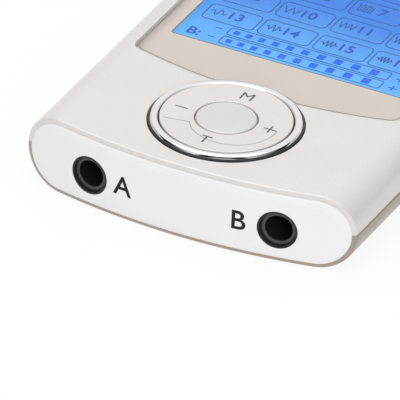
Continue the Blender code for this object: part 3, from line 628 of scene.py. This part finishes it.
def wrap_shell(shape, reach, mirrored):
    starts = np.arange(FLAT + STRIP / 2, reach - STRIP / 4, STRIP)
    slice_x(shape, [*starts, *(-starts)])
    return bend(shape, wrap(mirrored))


def window_loop(grow):
    """The window: straight sides, a bowed lower edge and rounded corners."""
    half = lens_high.x + WINDOW_EASE + grow
    clear = half - 1.6 * WINDOW_CORNERS[0]
    lower = []
    for x in [-half, *np.linspace(-clear, clear, 45), half]:
        rise = WINDOW_LOW_RADIUS - sqrt(WINDOW_LOW_RADIUS**2 - x**2)
        corner = WINDOW_CORNERS[0] if abs(x) == half else 0.0
        lower.append((x, WINDOW_LOW + rise - grow, corner))
    high = lens_high.y + grow
    return rounded(lower + [(half, high, WINDOW_CORNERS[1]), (-half, high, WINDOW_CORNERS[1])])


def window_with_dial(grow, radius, cusp=0.0):
    """The window joined to the dial's circle, its two cusps rounded.

    Without a cusp it's the window less that circle.
    """
    apart = WINDOW_LOW + WINDOW_LOW_RADIUS - grow - DIAL.y
    high = ((radius + cusp) ** 2 - (WINDOW_LOW_RADIUS + cusp) ** 2 + apart**2) / (2 * apart)
    wide = sqrt((radius + cusp) ** 2 - high**2)
    to_dial = degrees(atan2(-high, wide))
    to_bow = degrees(atan2(apart - high, wide))
    if cusp:
        turn = arc((-wide, DIAL.y + high), cusp, to_bow, to_dial, 10)
        rim = arc(DIAL, radius, 180.0 + to_dial, 360.0 - to_dial, 160)[1:-1]
        meeting = turn + rim + [(-x, y) for x, y in reversed(turn)]
    else:
        meeting = arc(DIAL, radius, 180.0 + to_dial, -to_dial, 40)
    loop = window_loop(grow)
    met = [index for index, (x, _) in enumerate(loop) if abs(x) < wide + 0.4 * MM]
    return loop[:met[0]] + meeting + loop[met[-1] + 1:]


def upper_shell():
    reach = section_reach(PARTING + PARTING_GAP)
    opening = window_with_dial(2 * SEAM, RING_RADIUS + DIAL_GAP, cusp=0.35 * MM)
    shape = plate(
        shell_outline(reach), WALL, quarter_round(UPPER_EDGE),
        holes=[(opening, quarter_round(0.12 * MM, 4), None)], under=quarter_round(FINE, 3),
    )
    inner, step, outer = RING_RADIUS - 0.75 * MM, RING_RADIUS + 0.2 * MM, RING_RADIUS + 1.4 * MM
    foot, under, top = CASE_HEIGHT - 1.9 * MM, CASE_HEIGHT - WALL - TOUCH, CASE_HEIGHT - 0.8 * MM
    seat = turned(rounded([
        (inner, foot, FINE), (outer, foot, FINE), (outer, under, 0.0),
        (step, under, 0.0), (step, top, 0.0), (inner, top, FINE),
    ], 5), 128, DIAL)
    whole = merge([wrap_shell(shape, reach, mirrored=False), seat])
    piece("upper_shell_fine", whole, "pearl_silver", ["upper_shell"])


def screw_places():
    names = sorted(node for node in frame["nodes"] if node.startswith("case_screw_"))
    return {name: sum(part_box(name), Vector()).xy / 2 for name in names}


def lower_shell():
    reach = section_reach(CASE_HEIGHT - PARTING + PARTING_GAP)
    places = screw_places().values()
    label_low, label_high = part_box("rear_label")
    room = Vector(mm(0.12, 0.12))
    recess = rectangle(label_low.xy - room, label_high.xy + room, 1.6 * MM)
    holes = [(recess, quarter_round(0.12 * MM, 3), 0.42 * MM)]
    holes += [(circle(place, COUNTERBORE, 48), quarter_round(0.2 * MM, 4), None) for place in places]
    shape = plate(
        shell_outline(reach), WALL, quarter_round(LOWER_EDGE), holes, under=quarter_round(FINE, 3)
    )
    bore, outer, top = mm(1.25, 3.2, 6.0)
    boss = rounded([
        (bore, COUNTERBORE_TOP, FINE), (COUNTERBORE, COUNTERBORE_TOP, 0.0),
        (COUNTERBORE, WALL + TOUCH, 0.0), (outer, WALL + TOUCH, 0.0),
        (outer, top, 0.15 * MM), (bore, top, FINE),
    ], 3)
    bosses = [turned(boss, 48, place) for place in places]
    whole = merge([wrap_shell(shape, reach, mirrored=True), *bosses])
    piece("lower_shell_fine", whole, "champagne", ["lower_shell"])


# ---- end caps

def stadium(inset, drop, steps=40):
    """The case's section, drawn in and let down a little, as a loop of (x, height from the middle)."""
    radius = SIDE_RADIUS - inset
    flat = list(np.linspace(-FLAT, FLAT, 43))[1:-1]
    right = arc((FLAT, -drop), radius, -90.0, 90.0, steps)
    left = arc((-FLAT, -drop), radius, 90.0, 270.0, steps)
    return [(x, -radius - drop) for x in flat] + right + [(-x, radius - drop) for x in flat] + left


def to_front(place):
    """From a flat cap, drawn as (x, height, -depth), to the front end."""
    return Vector((place.x, -CASE_END + end_bow(place.x) - place.z, MIDDLE + place.y))


def to_rear(place):
    return to_front(place) * Vector((-1, -1, 1))


def cap_profile():
    """A small round edge, then a shallow slope up to the flat of the face."""
    edge = [(x, depth + 0.09 * MM) for x, depth in quarter_round(0.36 * MM, 6)]
    return edge + [mm(0.7, 0.055), mm(1.05, 0.022), mm(1.15, 0.012), mm(1.24, 0.0)]


def end_cap(node, holes, rule):
    thickness = front_high.y - front_low.y - end_bow(front_high.x)
    step = thickness - CAP_FLANGE
    lip, plug = mm(0.45, 0.8)
    groove = step + CAP_GROOVE
    under = [(0.0, groove), (lip, groove), (lip, step), (plug, step), (plug, 0.0)]
    shape = plate(stadium(CAP_INSET, CAP_DROP), thickness, cap_profile(), holes, under)
    slice_x(shape, np.arange(-26.0, 26.5, 1.0) * MM)
    piece(f"{node}_fine", bend(shape, rule), "white_plastic", [node])


def jack_centre(channel):
    """A jack's middle, as (x, height from the middle of the case)."""
    low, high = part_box(f"output_jack_{channel}")
    return (low.x + high.x) / 2, (low.z + high.z) / 2 - MIDDLE


def end_caps():
    sockets = [
        (circle(jack_centre(channel), JACK_HOLE, 96), quarter_round(FINE, 3), None) for channel in CHANNELS
    ]
    end_cap("front_end_cap", sockets, to_front)
    slot = [(offset(usb_loop(), -0.12 * MM), quarter_round(0.15 * MM, 4), None)]
    end_cap("rear_end_cap", slot, to_rear)


def cap_letters():
    """The two generic channel letters, printed beside the sockets."""
    shape = bmesh.new()
    for channel in CHANNELS:
        x = jack_centre(channel)[0]
        place = (x - copysign(5.85 * MM, x), -0.4 * MM)
        letters(shape, channel.upper(), place, 3.25 * MM, (-0.5 * INK, INK), bolder=0.012)
    piece("channel_letters", bend(shape, to_front), "black_plastic", look="print_black")


# ---- sockets

def sunk(profile, steps, centre):
    """A profile of (radius, depth behind the bowed face) turned about a socket's axis."""
    return bend(turned([(radius, -depth) for radius, depth in profile], steps, centre), to_front)


def upright(shape, y, facing):
    """Stands a flat shape up with its face at y, looking to the front (-1) or to the rear (1)."""
    return bend(shape, lambda place: Vector((place.x, y + facing * place.z, MIDDLE + place.y)))


def output_socket(channel):
    """A black bush whose lip is level with the cap, a recessed ring inside it, and the bore."""
    node = f"output_jack_{channel}"
    low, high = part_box(node)
    x, level = jack_centre(channel)
    bore, brim, lip = mm(2.12, 2.62, 2.78)
    outer, tube = JACK_HOLE - 0.04 * MM, bore + 0.6 * MM
    proud, neck = mm(0.06, 3.9)
    deep = low.y + CASE_END - end_bow(x) + 7.2 * MM
    nose = sunk(rounded([
        (bore, deep, 0.0), (bore, 0.82 * MM, 0.12 * MM), (brim, 0.74 * MM, 0.06 * MM),
        (lip, proud, CRISP), (outer, proud, CRISP),
        (outer, neck, 0.0), (tube, neck, 0.0), (tube, deep, 0.0),
    ], 4), 96, (x, level))
    ring_bore, ring_face, ring_back = bore + TOUCH, 0.66 * MM, 0.84 * MM
    ring = sunk(rounded([
        (ring_bore, ring_face, CRISP), (brim, ring_face, CRISP), (brim, ring_back, 0.0),
        (ring_bore, ring_back, 0.0),
    ], 3), 96, (x, level))
    piece(f"output_socket_ring_{channel}", ring, "black_plastic", look="socket_grey")
    half = (high.x - low.x) / 2
    block_front = low.y + 2.75 * MM
    through = [(circle((x, level), tube + 0.02 * MM, 64), quarter_round(FINE, 2), None)]
    block = plate(
        rectangle((x - half, level - half), (x + half, level + half), 0.5 * MM), high.y - block_front,
        quarter_round(0.2 * MM, 3), through, under=quarter_round(0.2 * MM, 3),
    )
    whole = merge([nose, upright(block, block_front, -1)])
    piece(f"output_socket_{channel}", whole, "black_plastic", [node])


def output_pin(channel):
    """The socket's centre pin with its rounded nose, deep in the bore, and its solder tail."""
    node = f"jack_{channel}_pin"
    low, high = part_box(node)
    x, level = jack_centre(channel)
    radius = 0.5 * MM
    behind_face = CASE_END - end_bow(x)
    front, rear = low.y + behind_face + 2.2 * MM, high.y + behind_face - 0.1 * MM
    nose = shoulder(0.0, front, radius, radius, 0, 7)
    pin = sunk([*nose, (radius, rear), (0.0, rear)], 32, (x, level))
    piece(f"output_pin_{channel}", pin, "contact_gold", [node])


def usb_loop():
    """The charging port's metal outline: its lower corners are cut off."""
    low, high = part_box("usb_port_shell")
    half, rise = high.x, (high.z - low.z) / 2
    cut_x, cut_y = mm(1.0, 1.1)
    right = [(half - cut_x, -rise), (half, -rise + cut_y), (half, rise)]
    left = [(-x, y) for x, y in reversed(right)]
    return rounded([(*corner, 0.6 * MM) for corner in [left[2], *right, *left[:2]]], 6)


def charging_port():
    low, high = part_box("usb_port_shell")
    lip = [(offset(usb_loop(), 0.3 * MM), quarter_round(0.12 * MM, 3), None)]
    tube = plate(usb_loop(), high.y - low.y, quarter_round(0.12 * MM, 3), lip)
    piece("charging_port_shell", upright(tube, high.y, 1), "steel", ["usb_port_shell"])
    block_low, block_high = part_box("usb_port_insulator")
    depth, half, rise = mm(2.3, 2.7, 0.5)
    soft, tongue_edge = quarter_round(FINE, 2), quarter_round(0.15 * MM, 3)
    block = plate(offset(usb_loop(), 0.4 * MM), depth, soft, under=soft)
    tongue = plate(
        rectangle((-half, block_low.y + 1.2 * MM), (half, block_high.y), 0.25 * MM, 4), 2 * rise,
        tongue_edge, under=tongue_edge,
    )
    whole = merge([upright(block, block_low.y + depth, 1), lift(tongue, MIDDLE + rise)])
    piece("charging_port_tongue", whole, "black_plastic", ["usb_port_insulator"])
    contacts = bmesh.new()
    for index in range(5):
        x = (index - 2) * 0.8 * MM
        path = [(x, block_low.y + 2.4 * MM), (x, block_high.y - 0.5 * MM)]
        level = MIDDLE - rise
        ribbon(contacts, path, 0.38 * MM, (level - 0.08 * MM, level + 0.04 * MM))
    piece("charging_port_contacts", contacts, "contact_gold")


# ---- window and display

def window():
    outline = window_with_dial(-SEAM, RING_RADIUS + DIAL_GAP)
    mask_top = lens_low.z - 0.02 * MM
    lens = plate(
        outline, lens_high.z - lens_low.z, quarter_round(0.14 * MM, 4), under=quarter_round(0.06 * MM, 2)
    )
    piece("window_lens", lift(lens, lens_high.z), "clear_window", ["display_window"])
    # A thin dark line just inside the lens's edge: painted shade of the window's recessed edge.
    edge_shade = ribbon(bmesh.new(), offset(outline, 0.40 * MM), 0.15 * MM, ink(lens_high.z), closed=True)
    piece("window_edge_painted_shade", edge_shade, "clear_window", look="print_and_shade_line")
    opening = rectangle((-VIEW_HALF, VIEW_Y[0]), (VIEW_HALF, VIEW_Y[1]), 0.25 * MM, 3)
    # A thin dark line round the display's opening, on the mask: painted shade of the mask's edge.
    opening_shade = ribbon(bmesh.new(), offset(opening, -0.07 * MM), 0.14 * MM, ink(mask_top), closed=True)
    piece("display_edge_painted_shade", opening_shade, "mask_beige", look="print_and_shade_grey")
    edge = quarter_round(0.03 * MM, 1)
    mask = plate(outline, mask_high.z - mask_low.z, edge, [(opening, edge, None)])
    piece("window_print", lift(mask, mask_top), "mask_beige", ["window_mask"])


def display_panel():
    """The two glasses of the display, with the lower one's contact ledge at the dial end."""
    half = (glass_high.z - glass_low.z) / 2
    ledge = 2.3 * MM
    edge = quarter_round(0.08 * MM, 2)
    top = plate(rectangle((glass_low.x, glass_low.y + ledge), glass_high.xy, 0.3 * MM, 3), half, edge)
    base = plate(rectangle(glass_low.xy, glass_high.xy, 0.3 * MM, 3), half - TOUCH, edge)
    whole = merge([lift(top, glass_high.z), lift(base, glass_low.z + half - TOUCH)])
    piece("display_glass", whole, "lcd_blue", ["lcd_glass"])


BOX_PITCH, BOX_SIZE, BOX_CORNER = mm(9.15, 6.1), mm(8.45, 4.6), 0.8 * MM
BOX_LEFT, BOX_LOW = mm(-18.2, -10.6)
NUMBER_PLACE, WAVE_PLACE = mm(4.85, 2.55), mm(0.6, 2.5)  # in a box, from its lower left corner
WAVE_SIZE, SQUARE_WAVE = mm(2.6, 1.9), 1
DIGIT, BOLD = 2.1 * MM, 0.02
BAR_LEVELS = mm(-12.25, -15.05)
BAR_ENDS = mm(-12.6, 13.9)
SQUARES = 10
BAR_FIRST = -11.3 * MM
BAR_STEP, BAR_GROWTH = 1.942 * MM, 0.0644 * MM  # the squares grow towards the plus
MINUS = mm(-14.8, -13.7)
PLUS = mm(15.0, 15.7, 16.4)
STROKE, LINE = mm(0.2, 0.17)
SEGMENTS = (glass_high.z, glass_high.z + 0.02 * MM)
CLOCK = mm(-14.2, 20.2)


def wave_points(kind):
    """A small generic wave form, different for each programme."""
    xs = np.linspace(0.0, 1.0, 37)
    shape, count = divmod(kind, 4)
    count += 1
    phase = (xs * count) % 1.0
    ys = [
        np.sin(2 * pi * count * xs),
        np.where(phase < 0.5, 1.0, -1.0),
        2 * np.abs(2 * phase - 1) - 1,
        np.sin(2 * pi * (count + 1) * xs) * np.sin(pi * xs),
    ][shape]
    points = [(x * WAVE_SIZE[0], y * WAVE_SIZE[1] / 2) for x, y in zip(xs, ys)]
    if shape != SQUARE_WAVE:
        return points
    upright_steps = []
    for before, after in zip(points, points[1:]):
        upright_steps.append(before)
        if before[1] != after[1]:
            upright_steps.append((before[0] + 1e-6, after[1]))
    return upright_steps + [points[-1]]


def box(shape, low, high, radius, width=LINE, steps=5):
    """The outline of a box on the display."""
    ribbon(shape, rectangle(low, high, radius, steps), width, SEGMENTS, closed=True)


def block(shape, low, high, radius):
    """A filled box on the display."""
    patch(shape, rectangle(low, high, radius, 1), SEGMENTS)


def display_segments():
    dark, line, squares = bmesh.new(), bmesh.new(), bmesh.new()
    for number in range(16):
        row, column = divmod(number, 4)
        left, low = BOX_LEFT + column * BOX_PITCH[0], BOX_LOW + (3 - row) * BOX_PITCH[1]
        box(line, (left, low), (left + BOX_SIZE[0], low + BOX_SIZE[1]), BOX_CORNER)
        place = (left + NUMBER_PLACE[0], low + NUMBER_PLACE[1])
        letters(dark, str(number + 1), place, DIGIT, SEGMENTS, BOLD)
        wave = [(left + WAVE_PLACE[0] + x, low + WAVE_PLACE[1] + y) for x, y in wave_points(number)]
        ribbon(line, wave, LINE, SEGMENTS)
    letters(dark, "B:", (-17.1 * MM, BAR_LEVELS[1] + 0.2 * MM), DIGIT, SEGMENTS, BOLD)
    for level in BAR_LEVELS:
        bar(dark, line, squares, level)
    status(dark, line)
    piece("display_segments", dark, "lcd_blue", look="lcd_dark")
    piece("display_squares", squares, "lcd_blue", look="lcd_square")
    piece("display_outlines", line, "lcd_blue", look="lcd_line")


def bar(dark, line, squares, level):
    """A row of squares in a box, between a minus and a plus."""
    rise = 1.15 * MM
    ribbon(dark, [(x, level) for x in MINUS], STROKE, SEGMENTS)
    box(line, (BAR_ENDS[0], level - rise), (BAR_ENDS[1], level + rise), 0.5 * MM)
    for square in range(SQUARES):
        x = BAR_FIRST + square * BAR_STEP + square**2 * BAR_GROWTH
        half = (0.46 + 0.022 * square) * MM
        block(squares, (x - half, level - 1.2 * half), (x + half, level + 1.2 * half), 0.06 * MM)
    left, middle, right = PLUS
    ribbon(dark, [(left, level), (right, level)], STROKE, SEGMENTS)
    for side in (-1, 1):
        ribbon(dark, [(middle, level + side * reach) for reach in mm(0.1, 0.7)], STROKE, SEGMENTS)


def status(dark, line):
    """The top of the display: a timer, a battery, bars and a clock sign."""
    letters(dark, "20:00", mm(2.0, 20.2), 5.6 * MM, SEGMENTS, bolder=0.01)
    ribbon(line, circle(CLOCK, 2.2 * MM, 40), 0.16 * MM, SEGMENTS, closed=True)
    ribbon(line, [mm(-14.2, 21.7), CLOCK, mm(-13.1, 19.6)], 0.16 * MM, SEGMENTS)
    box(line, mm(11.2, 26.2), mm(16.6, 28.6), 0.3 * MM, 0.14 * MM, 3)
    block(dark, mm(16.75, 26.9), mm(17.2, 27.9), FINE)
    for cell in range(3):
        left = 11.75 + 1.6 * cell
        block(dark, mm(left, 26.75), mm(left + 1.1, 28.05), FINE)
    for step in range(4):
        left = -16.9 + 1.3 * step
        block(dark, mm(left, 26.2), mm(left + 0.8, 26.9 + 0.55 * step), 0.08 * MM)
    ribbon(line, [mm(-17.8, 14.6), mm(17.8, 14.6)], 0.09 * MM, SEGMENTS)


# ---- dial

def dial_ring():
    """A chrome crown on a black base, whose ledge shows as a dark line round the crown."""
    lip, spigot, crown = mm(10.1, 10.6, 11.3)
    ledge, seat, foot = CASE_HEIGHT + 0.15 * MM, CASE_HEIGHT - 0.3 * MM, CASE_HEIGHT - 0.78 * MM
    top = ring_high.z
    ring = turned(rounded([
        (spigot, seat, 0.0), (crown, seat, FINE), (crown, ledge + 0.1 * MM, CRISP),
        (crown - 0.14 * MM, top - 0.12 * MM, FINE), (crown - 0.55 * MM, top, 0.6 * MM),
        (lip + 0.2 * MM, top - 0.03 * MM, FINE), (lip, top - 0.22 * MM, FINE),
        (lip, ring_low.z, 0.0), (spigot, ring_low.z, 0.0),
    ], 6), 256, DIAL)
    piece("dial_ring_fine", ring, "chrome", ["dial_ring"])
    gap = 0.02 * MM
    inner, outer = spigot + SEAM, RING_RADIUS - SEAM
    base = turned(rounded([
        (inner, foot, 0.0), (outer, foot, FINE), (outer, ledge - gap, 0.14 * MM),
        (crown + gap, ledge - gap, 0.0), (crown + gap, seat - gap, 0.0), (inner, seat - gap, 0.0),
    ], 5), 256, DIAL)
    piece("dial_ring_base", base, "black_plastic")


def pad_disc():
    hole, waist, radius = mm(4.76, 9.2, 9.9)
    flange, low = disc_high.x, disc_low.z
    flange_top, under = low + 0.6 * MM, DISC_TOP - 1.3 * MM
    disc = turned(rounded([
        (hole, under, FINE), (waist, under, 0.2 * MM), (waist, low, FINE), (flange, low, FINE),
        (flange, flange_top, FINE), (radius, flange_top, FINE),
        (radius, DISC_TOP, 0.16 * MM), (hole, DISC_TOP, 0.2 * MM),
    ], 5), 224, DIAL)
    piece("pad_disc", disc, "pad_silver", ["nav_disc"], body="nav_pad")


LABEL_REACH = 7.05 * MM
LABEL_SIZE = 2.15 * MM
SIGN_HALF, SIGN_WIDTH = mm(1.02, 0.24)
LINE_CENTRE = Vector((1.58, -0.59)) * MM  # the thin line's round part, from the dial's middle
LINE_RADIUS = 6.62 * MM


def pad_print():
    """M, T, minus and plus, and the thin printed line that ends in a hook at the plus."""
    shape = bmesh.new()
    x, y = DIAL
    letters(shape, "M", (x, y + LABEL_REACH), LABEL_SIZE, ink(DISC_TOP))
    letters(shape, "T", (x, y - LABEL_REACH - 0.15 * MM), LABEL_SIZE, ink(DISC_TOP))
    minus, plus = DIAL + Vector((-LABEL_REACH, -0.6 * MM)), DIAL + Vector((LABEL_REACH, 0.2 * MM))
    along, up = Vector((SIGN_HALF, 0.0)), Vector((0.0, SIGN_HALF))
    beside = Vector((0.0, SIGN_WIDTH / 2))
    strokes = [(minus - along, minus + along), (plus - along, plus + along)]
    strokes += [(plus - up, plus - beside), (plus + beside, plus + up)]
    for stroke in strokes:
        ribbon(shape, stroke, SIGN_WIDTH, ink(DISC_TOP))
    piece("pad_letters", shape, "pad_silver", look="print_and_shade_grey", body="nav_pad")
    path = [(x - 8.2 * MM, y - 4.54 * MM), (x - 4.9 * MM, y - 3.98 * MM)]
    path += arc(DIAL + LINE_CENTRE, LINE_RADIUS, 209.0, 368.0, 60)
    line = ribbon(bmesh.new(), path, 0.11 * MM, (DISC_TOP - INK, DISC_TOP + 0.6 * INK))
    piece("pad_line", line, "pad_silver", look="print_and_shade_line", body="nav_pad")


def button_cap():
    """The crowned centre button with its flange and stem."""
    radius, skirt, stem = mm(4.56, 4.66, 1.5)
    flange_low, flange_high = mm(10.5, 11.0)
    skirt_top = BUTTON_TOP - 0.58 * MM
    share = 0.93  # of the radius that the crown takes up
    crown = [(radius * s, BUTTON_TOP - 0.16 * MM * s**2.6) for s in np.linspace(0.0, share, 14)]
    edge = shoulder(radius * share, crown[-1][1], radius * (1 - share), -0.3 * MM, 15, 6)
    cap = turned([
        *crown, *edge, (radius, skirt_top), (skirt, skirt_top - 0.06 * MM), (skirt, flange_high),
        (button_high.x, flange_high), (button_high.x, flange_low),
        (stem, flange_low), (stem, button_low.z), (0.0, button_low.z),
    ], 160, DIAL)
    piece("centre_button_cap", cap, "button_pale", ["centre_button"], body="centre_key")


# ---- back

def screw_mesh():
    """A pan head seen from below, with a cross recess, and its shank."""
    face = 0.60 * MM
    dome = shoulder(0.0, face, 1.95 * MM, 0.3 * MM, 12, 8)
    shank = [mm(1.95, 1.55), mm(1.85, 1.7), mm(0.95, 1.7), mm(0.95, 9.3), mm(0.0, 10.0)]
    solid = turned([(0.0, face), *dome, *shank], 64)
    screw = put("screw", mesh_of(solid))
    arms = [put("arm", mesh_of(recess_arm(turn))) for turn in (0.0, pi / 2)]
    for arm in arms:
        cut = screw.modifiers.new("recess", "BOOLEAN")
        cut.operation = "DIFFERENCE"
        cut.solver = "EXACT"
        cut.object = arm
    made = evaluated(screw)
    for helper in (screw, *arms):
        bpy.data.objects.remove(helper)
    return made


def recess_arm(turn):
    """One tapered arm of the cross recess."""
    shape = bmesh.new()
    rings = [
        [shape.verts.new((side * half, end * thin, z)) for side, end in ((-1, -1), (1, -1), (1, 1), (-1, 1))]
        for half, thin, z in (mm(1.15, 0.24, 0.3), mm(0.45, 0.16, 1.45))
    ]
    for ring in rings:
        shape.faces.new(ring)
    bridge(shape, *rings)
    bmesh.ops.rotate(shape, verts=shape.verts, matrix=Matrix.Rotation(turn, 3, "Z"))
    bmesh.ops.recalc_face_normals(shape, faces=shape.faces)
    return shape


def screws():
    mesh = screw_mesh()
    for index, (name, place) in enumerate(screw_places().items()):
        shape = bmesh.new()
        shape.from_mesh(mesh)
        spin = Matrix.Rotation(radians(17 + 61 * index), 3, "Z")
        bmesh.ops.rotate(shape, verts=shape.verts, matrix=spin)
        bmesh.ops.translate(shape, verts=shape.verts, vec=(*place, 0.0))
        piece(f"{name}_fine", shape, "steel", [name])


def rear_label():
    low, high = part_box("rear_label")
    shape = plate(rectangle(low.xy, high.xy, 1.5 * MM), high.z - low.z, quarter_round(0.04 * MM, 2))
    bend(shape, lambda place: Vector((place.x, place.y, low.z - place.z)))
    piece("rear_label_plate", shape, "label_silver", ["rear_label"])
    inset = Vector(mm(1.4, 1.4))
    edge = rectangle(low.xy + inset, high.xy - inset, 1.0 * MM)
    line = ribbon(bmesh.new(), edge, 0.22 * MM, ink(low.z), closed=True)
    piece("rear_label_frame", line, "label_silver", look="print_and_shade_grey")


# ---- inner pieces

def finish_cad_nodes():
    """Gives every CAD node, shown or not, its slot's finish."""
    for entry in frame["record"]["subparts"]:
        node = frame["nodes"][entry["node"]]
        node.data.materials.clear()
        node.data.materials.append(finishes[entry["material_slot"]])


# ---- stage, light and camera

FLOOR_HALF, FLOOR_LEVEL = 3.0, -0.02 * MM
FRONT = (0.37, -0.90, 0.22)  # where the dark band is highest
DARK_RISE, DARK_SINK = 0.28, 0.25  # how far the band rises in front and sinks behind
SIDES = [  # directions that are dimmer, and how bright they are
    ((0.94, 0.26, -0.22), 0.42),
    ((-0.96, -0.15, -0.22), 0.55),
]
SKY = [  # brightness by height, the dark band in the middle
    (0.0, 0.8), (0.48, 0.75), (0.505, 0.03), (0.555, 0.04), (0.60, 0.95), (0.80, 1.0), (1.0, 1.0),
]
CAMERA_RIGHT = Vector((0.8954, 0.4419, 0.0457))
CAMERA_FORWARD = Vector((-0.3601, 0.7807, -0.5115))
FOCAL = 37.5  # in widths of the picture
SCALE = 17.015  # widths of the picture to a metre at the dial
DIAL_IN_VIEW = (0.066, -0.206)  # the dial's place from the view's middle, in widths


def floor():
    """A plain pale floor, which is clear from below, so that the part's back can be looked at."""
    shape = bmesh.new()
    corners = rectangle((-FLOOR_HALF, -FLOOR_HALF), (FLOOR_HALF, FLOOR_HALF), 0.0)
    shape.faces.new([shape.verts.new((*corner, FLOOR_LEVEL)) for corner in corners])
    ground = put("floor", mesh_of(shape))
    tree, shader = node_tree("floor_white")
    fill_in(
        tree, shader, Base_Color=(0.08, 0.08, 0.08), Roughness=0.9, Specular_IOR_Level=0.1,
        Emission_Color=(1.0, 1.0, 1.0), Emission_Strength=0.885,
    )
    below = add(tree, "NewGeometry")["Backfacing"]
    clear = add(tree, "BsdfTransparent")[0]
    mix = add(tree, "MixShader", below, shader.outputs[0], clear)[0]
    fill_in(tree, tree.nodes["Material Output"], mix)
    ground.data.materials.append(finishes["floor_white"])


def world():
    """Soft white surroundings with a dark band low down, for the gloss to mirror."""
    made = bpy.data.worlds.new("studio")
    made.use_nodes = True
    bpy.context.scene.world = made
    tree = made.node_tree
    direction = add(tree, "TexCoord")["Generated"]

    def towards(aim):
        return add(tree, "VectorMath", direction, aim, operation="DOT_PRODUCT")["Value"]

    rise = ranged(tree, towards(FRONT), 0.0, DARK_RISE, (0.75, 0.98))
    sink = ranged(tree, towards(FRONT), DARK_SINK, 0.0, (-0.7, -0.4))
    shift = add(tree, "Math", rise, sink, operation="SUBTRACT")[0]
    upward = add(tree, "SeparateXYZ", direction)["Z"]
    height = add(tree, "Math", upward, shift, operation="SUBTRACT")[0]
    ramp = tree.nodes.new("ShaderNodeValToRGB")
    fill_in(tree, ramp, ranged(tree, height, 0.0, 1.0, (-1.0, 1.0)))
    stops = ramp.color_ramp.elements
    for position, _ in SKY[1:-1]:
        stops.new(position)
    for stop, (_, value) in zip(stops, SKY):
        stop.color = (value, value**1.2, value**1.15, 1.0)
    colour = ramp.outputs["Color"]
    for aim, dimming in SIDES:
        dim = ranged(tree, towards(aim), 1.0, dimming, (0.35, 0.85))
        colour = add(tree, "VectorMath", colour, operation="SCALE", Scale=dim)["Vector"]
    seen = add(tree, "LightPath")["Is Camera Ray"]
    fill_in(tree, tree.nodes["Background"], blend_colours(tree, seen, colour, (0.98, 0.98, 0.98)))


def soft_light(name, place, size, power, mirrored=True):
    """A rectangular lamp that looks at the front half of the case."""
    lamp = bpy.data.lights.new(name, "AREA")
    lamp.shape = "RECTANGLE"
    lamp.size, lamp.size_y = size
    lamp.energy = power
    made = put(name, lamp)
    made.location = place
    made.rotation_mode = "QUATERNION"
    made.rotation_quaternion = (Vector(mm(0, -10, 0)) - Vector(place)).to_track_quat("-Z", "Y")
    made.visible_camera = False
    made.visible_glossy = mirrored


def camera():
    """A long lens, placed so that the dial's centre falls where the view needs it."""
    forward = CAMERA_FORWARD.normalized()
    right = (CAMERA_RIGHT - forward * CAMERA_RIGHT.dot(forward)).normalized()
    down = forward.cross(right)
    aside = (right * DIAL_IN_VIEW[0] + down * DIAL_IN_VIEW[1]) / FOCAL
    place = Vector((*DIAL, DISC_TOP)) - FOCAL / SCALE * (forward + aside)
    lens = bpy.data.cameras.new("camera")
    lens.lens = FOCAL * lens.sensor_width
    lens.clip_start, lens.clip_end = 0.05, 20.0
    made = put("camera", lens)
    made.matrix_world = Matrix.Translation(place) @ Matrix((right, -down, -forward)).transposed().to_4x4()
    bpy.context.scene.camera = made
    bpy.context.scene.view_settings.view_transform = "Standard"


camera()
finish_cad_nodes()
upper_shell()
lower_shell()
end_caps()
cap_letters()
for channel in CHANNELS:
    output_socket(channel)
    output_pin(channel)
charging_port()
window()
display_panel()
display_segments()
dial_ring()
pad_disc()
pad_print()
button_cap()
screws()
rear_label()
floor()
world()
soft_light("overhead", (-0.10, -0.05, 0.60), (0.70, 0.70), 1.9)
soft_light("front", (0.36, -0.64, 0.20), (0.40, 0.30), 2.1, mirrored=False)
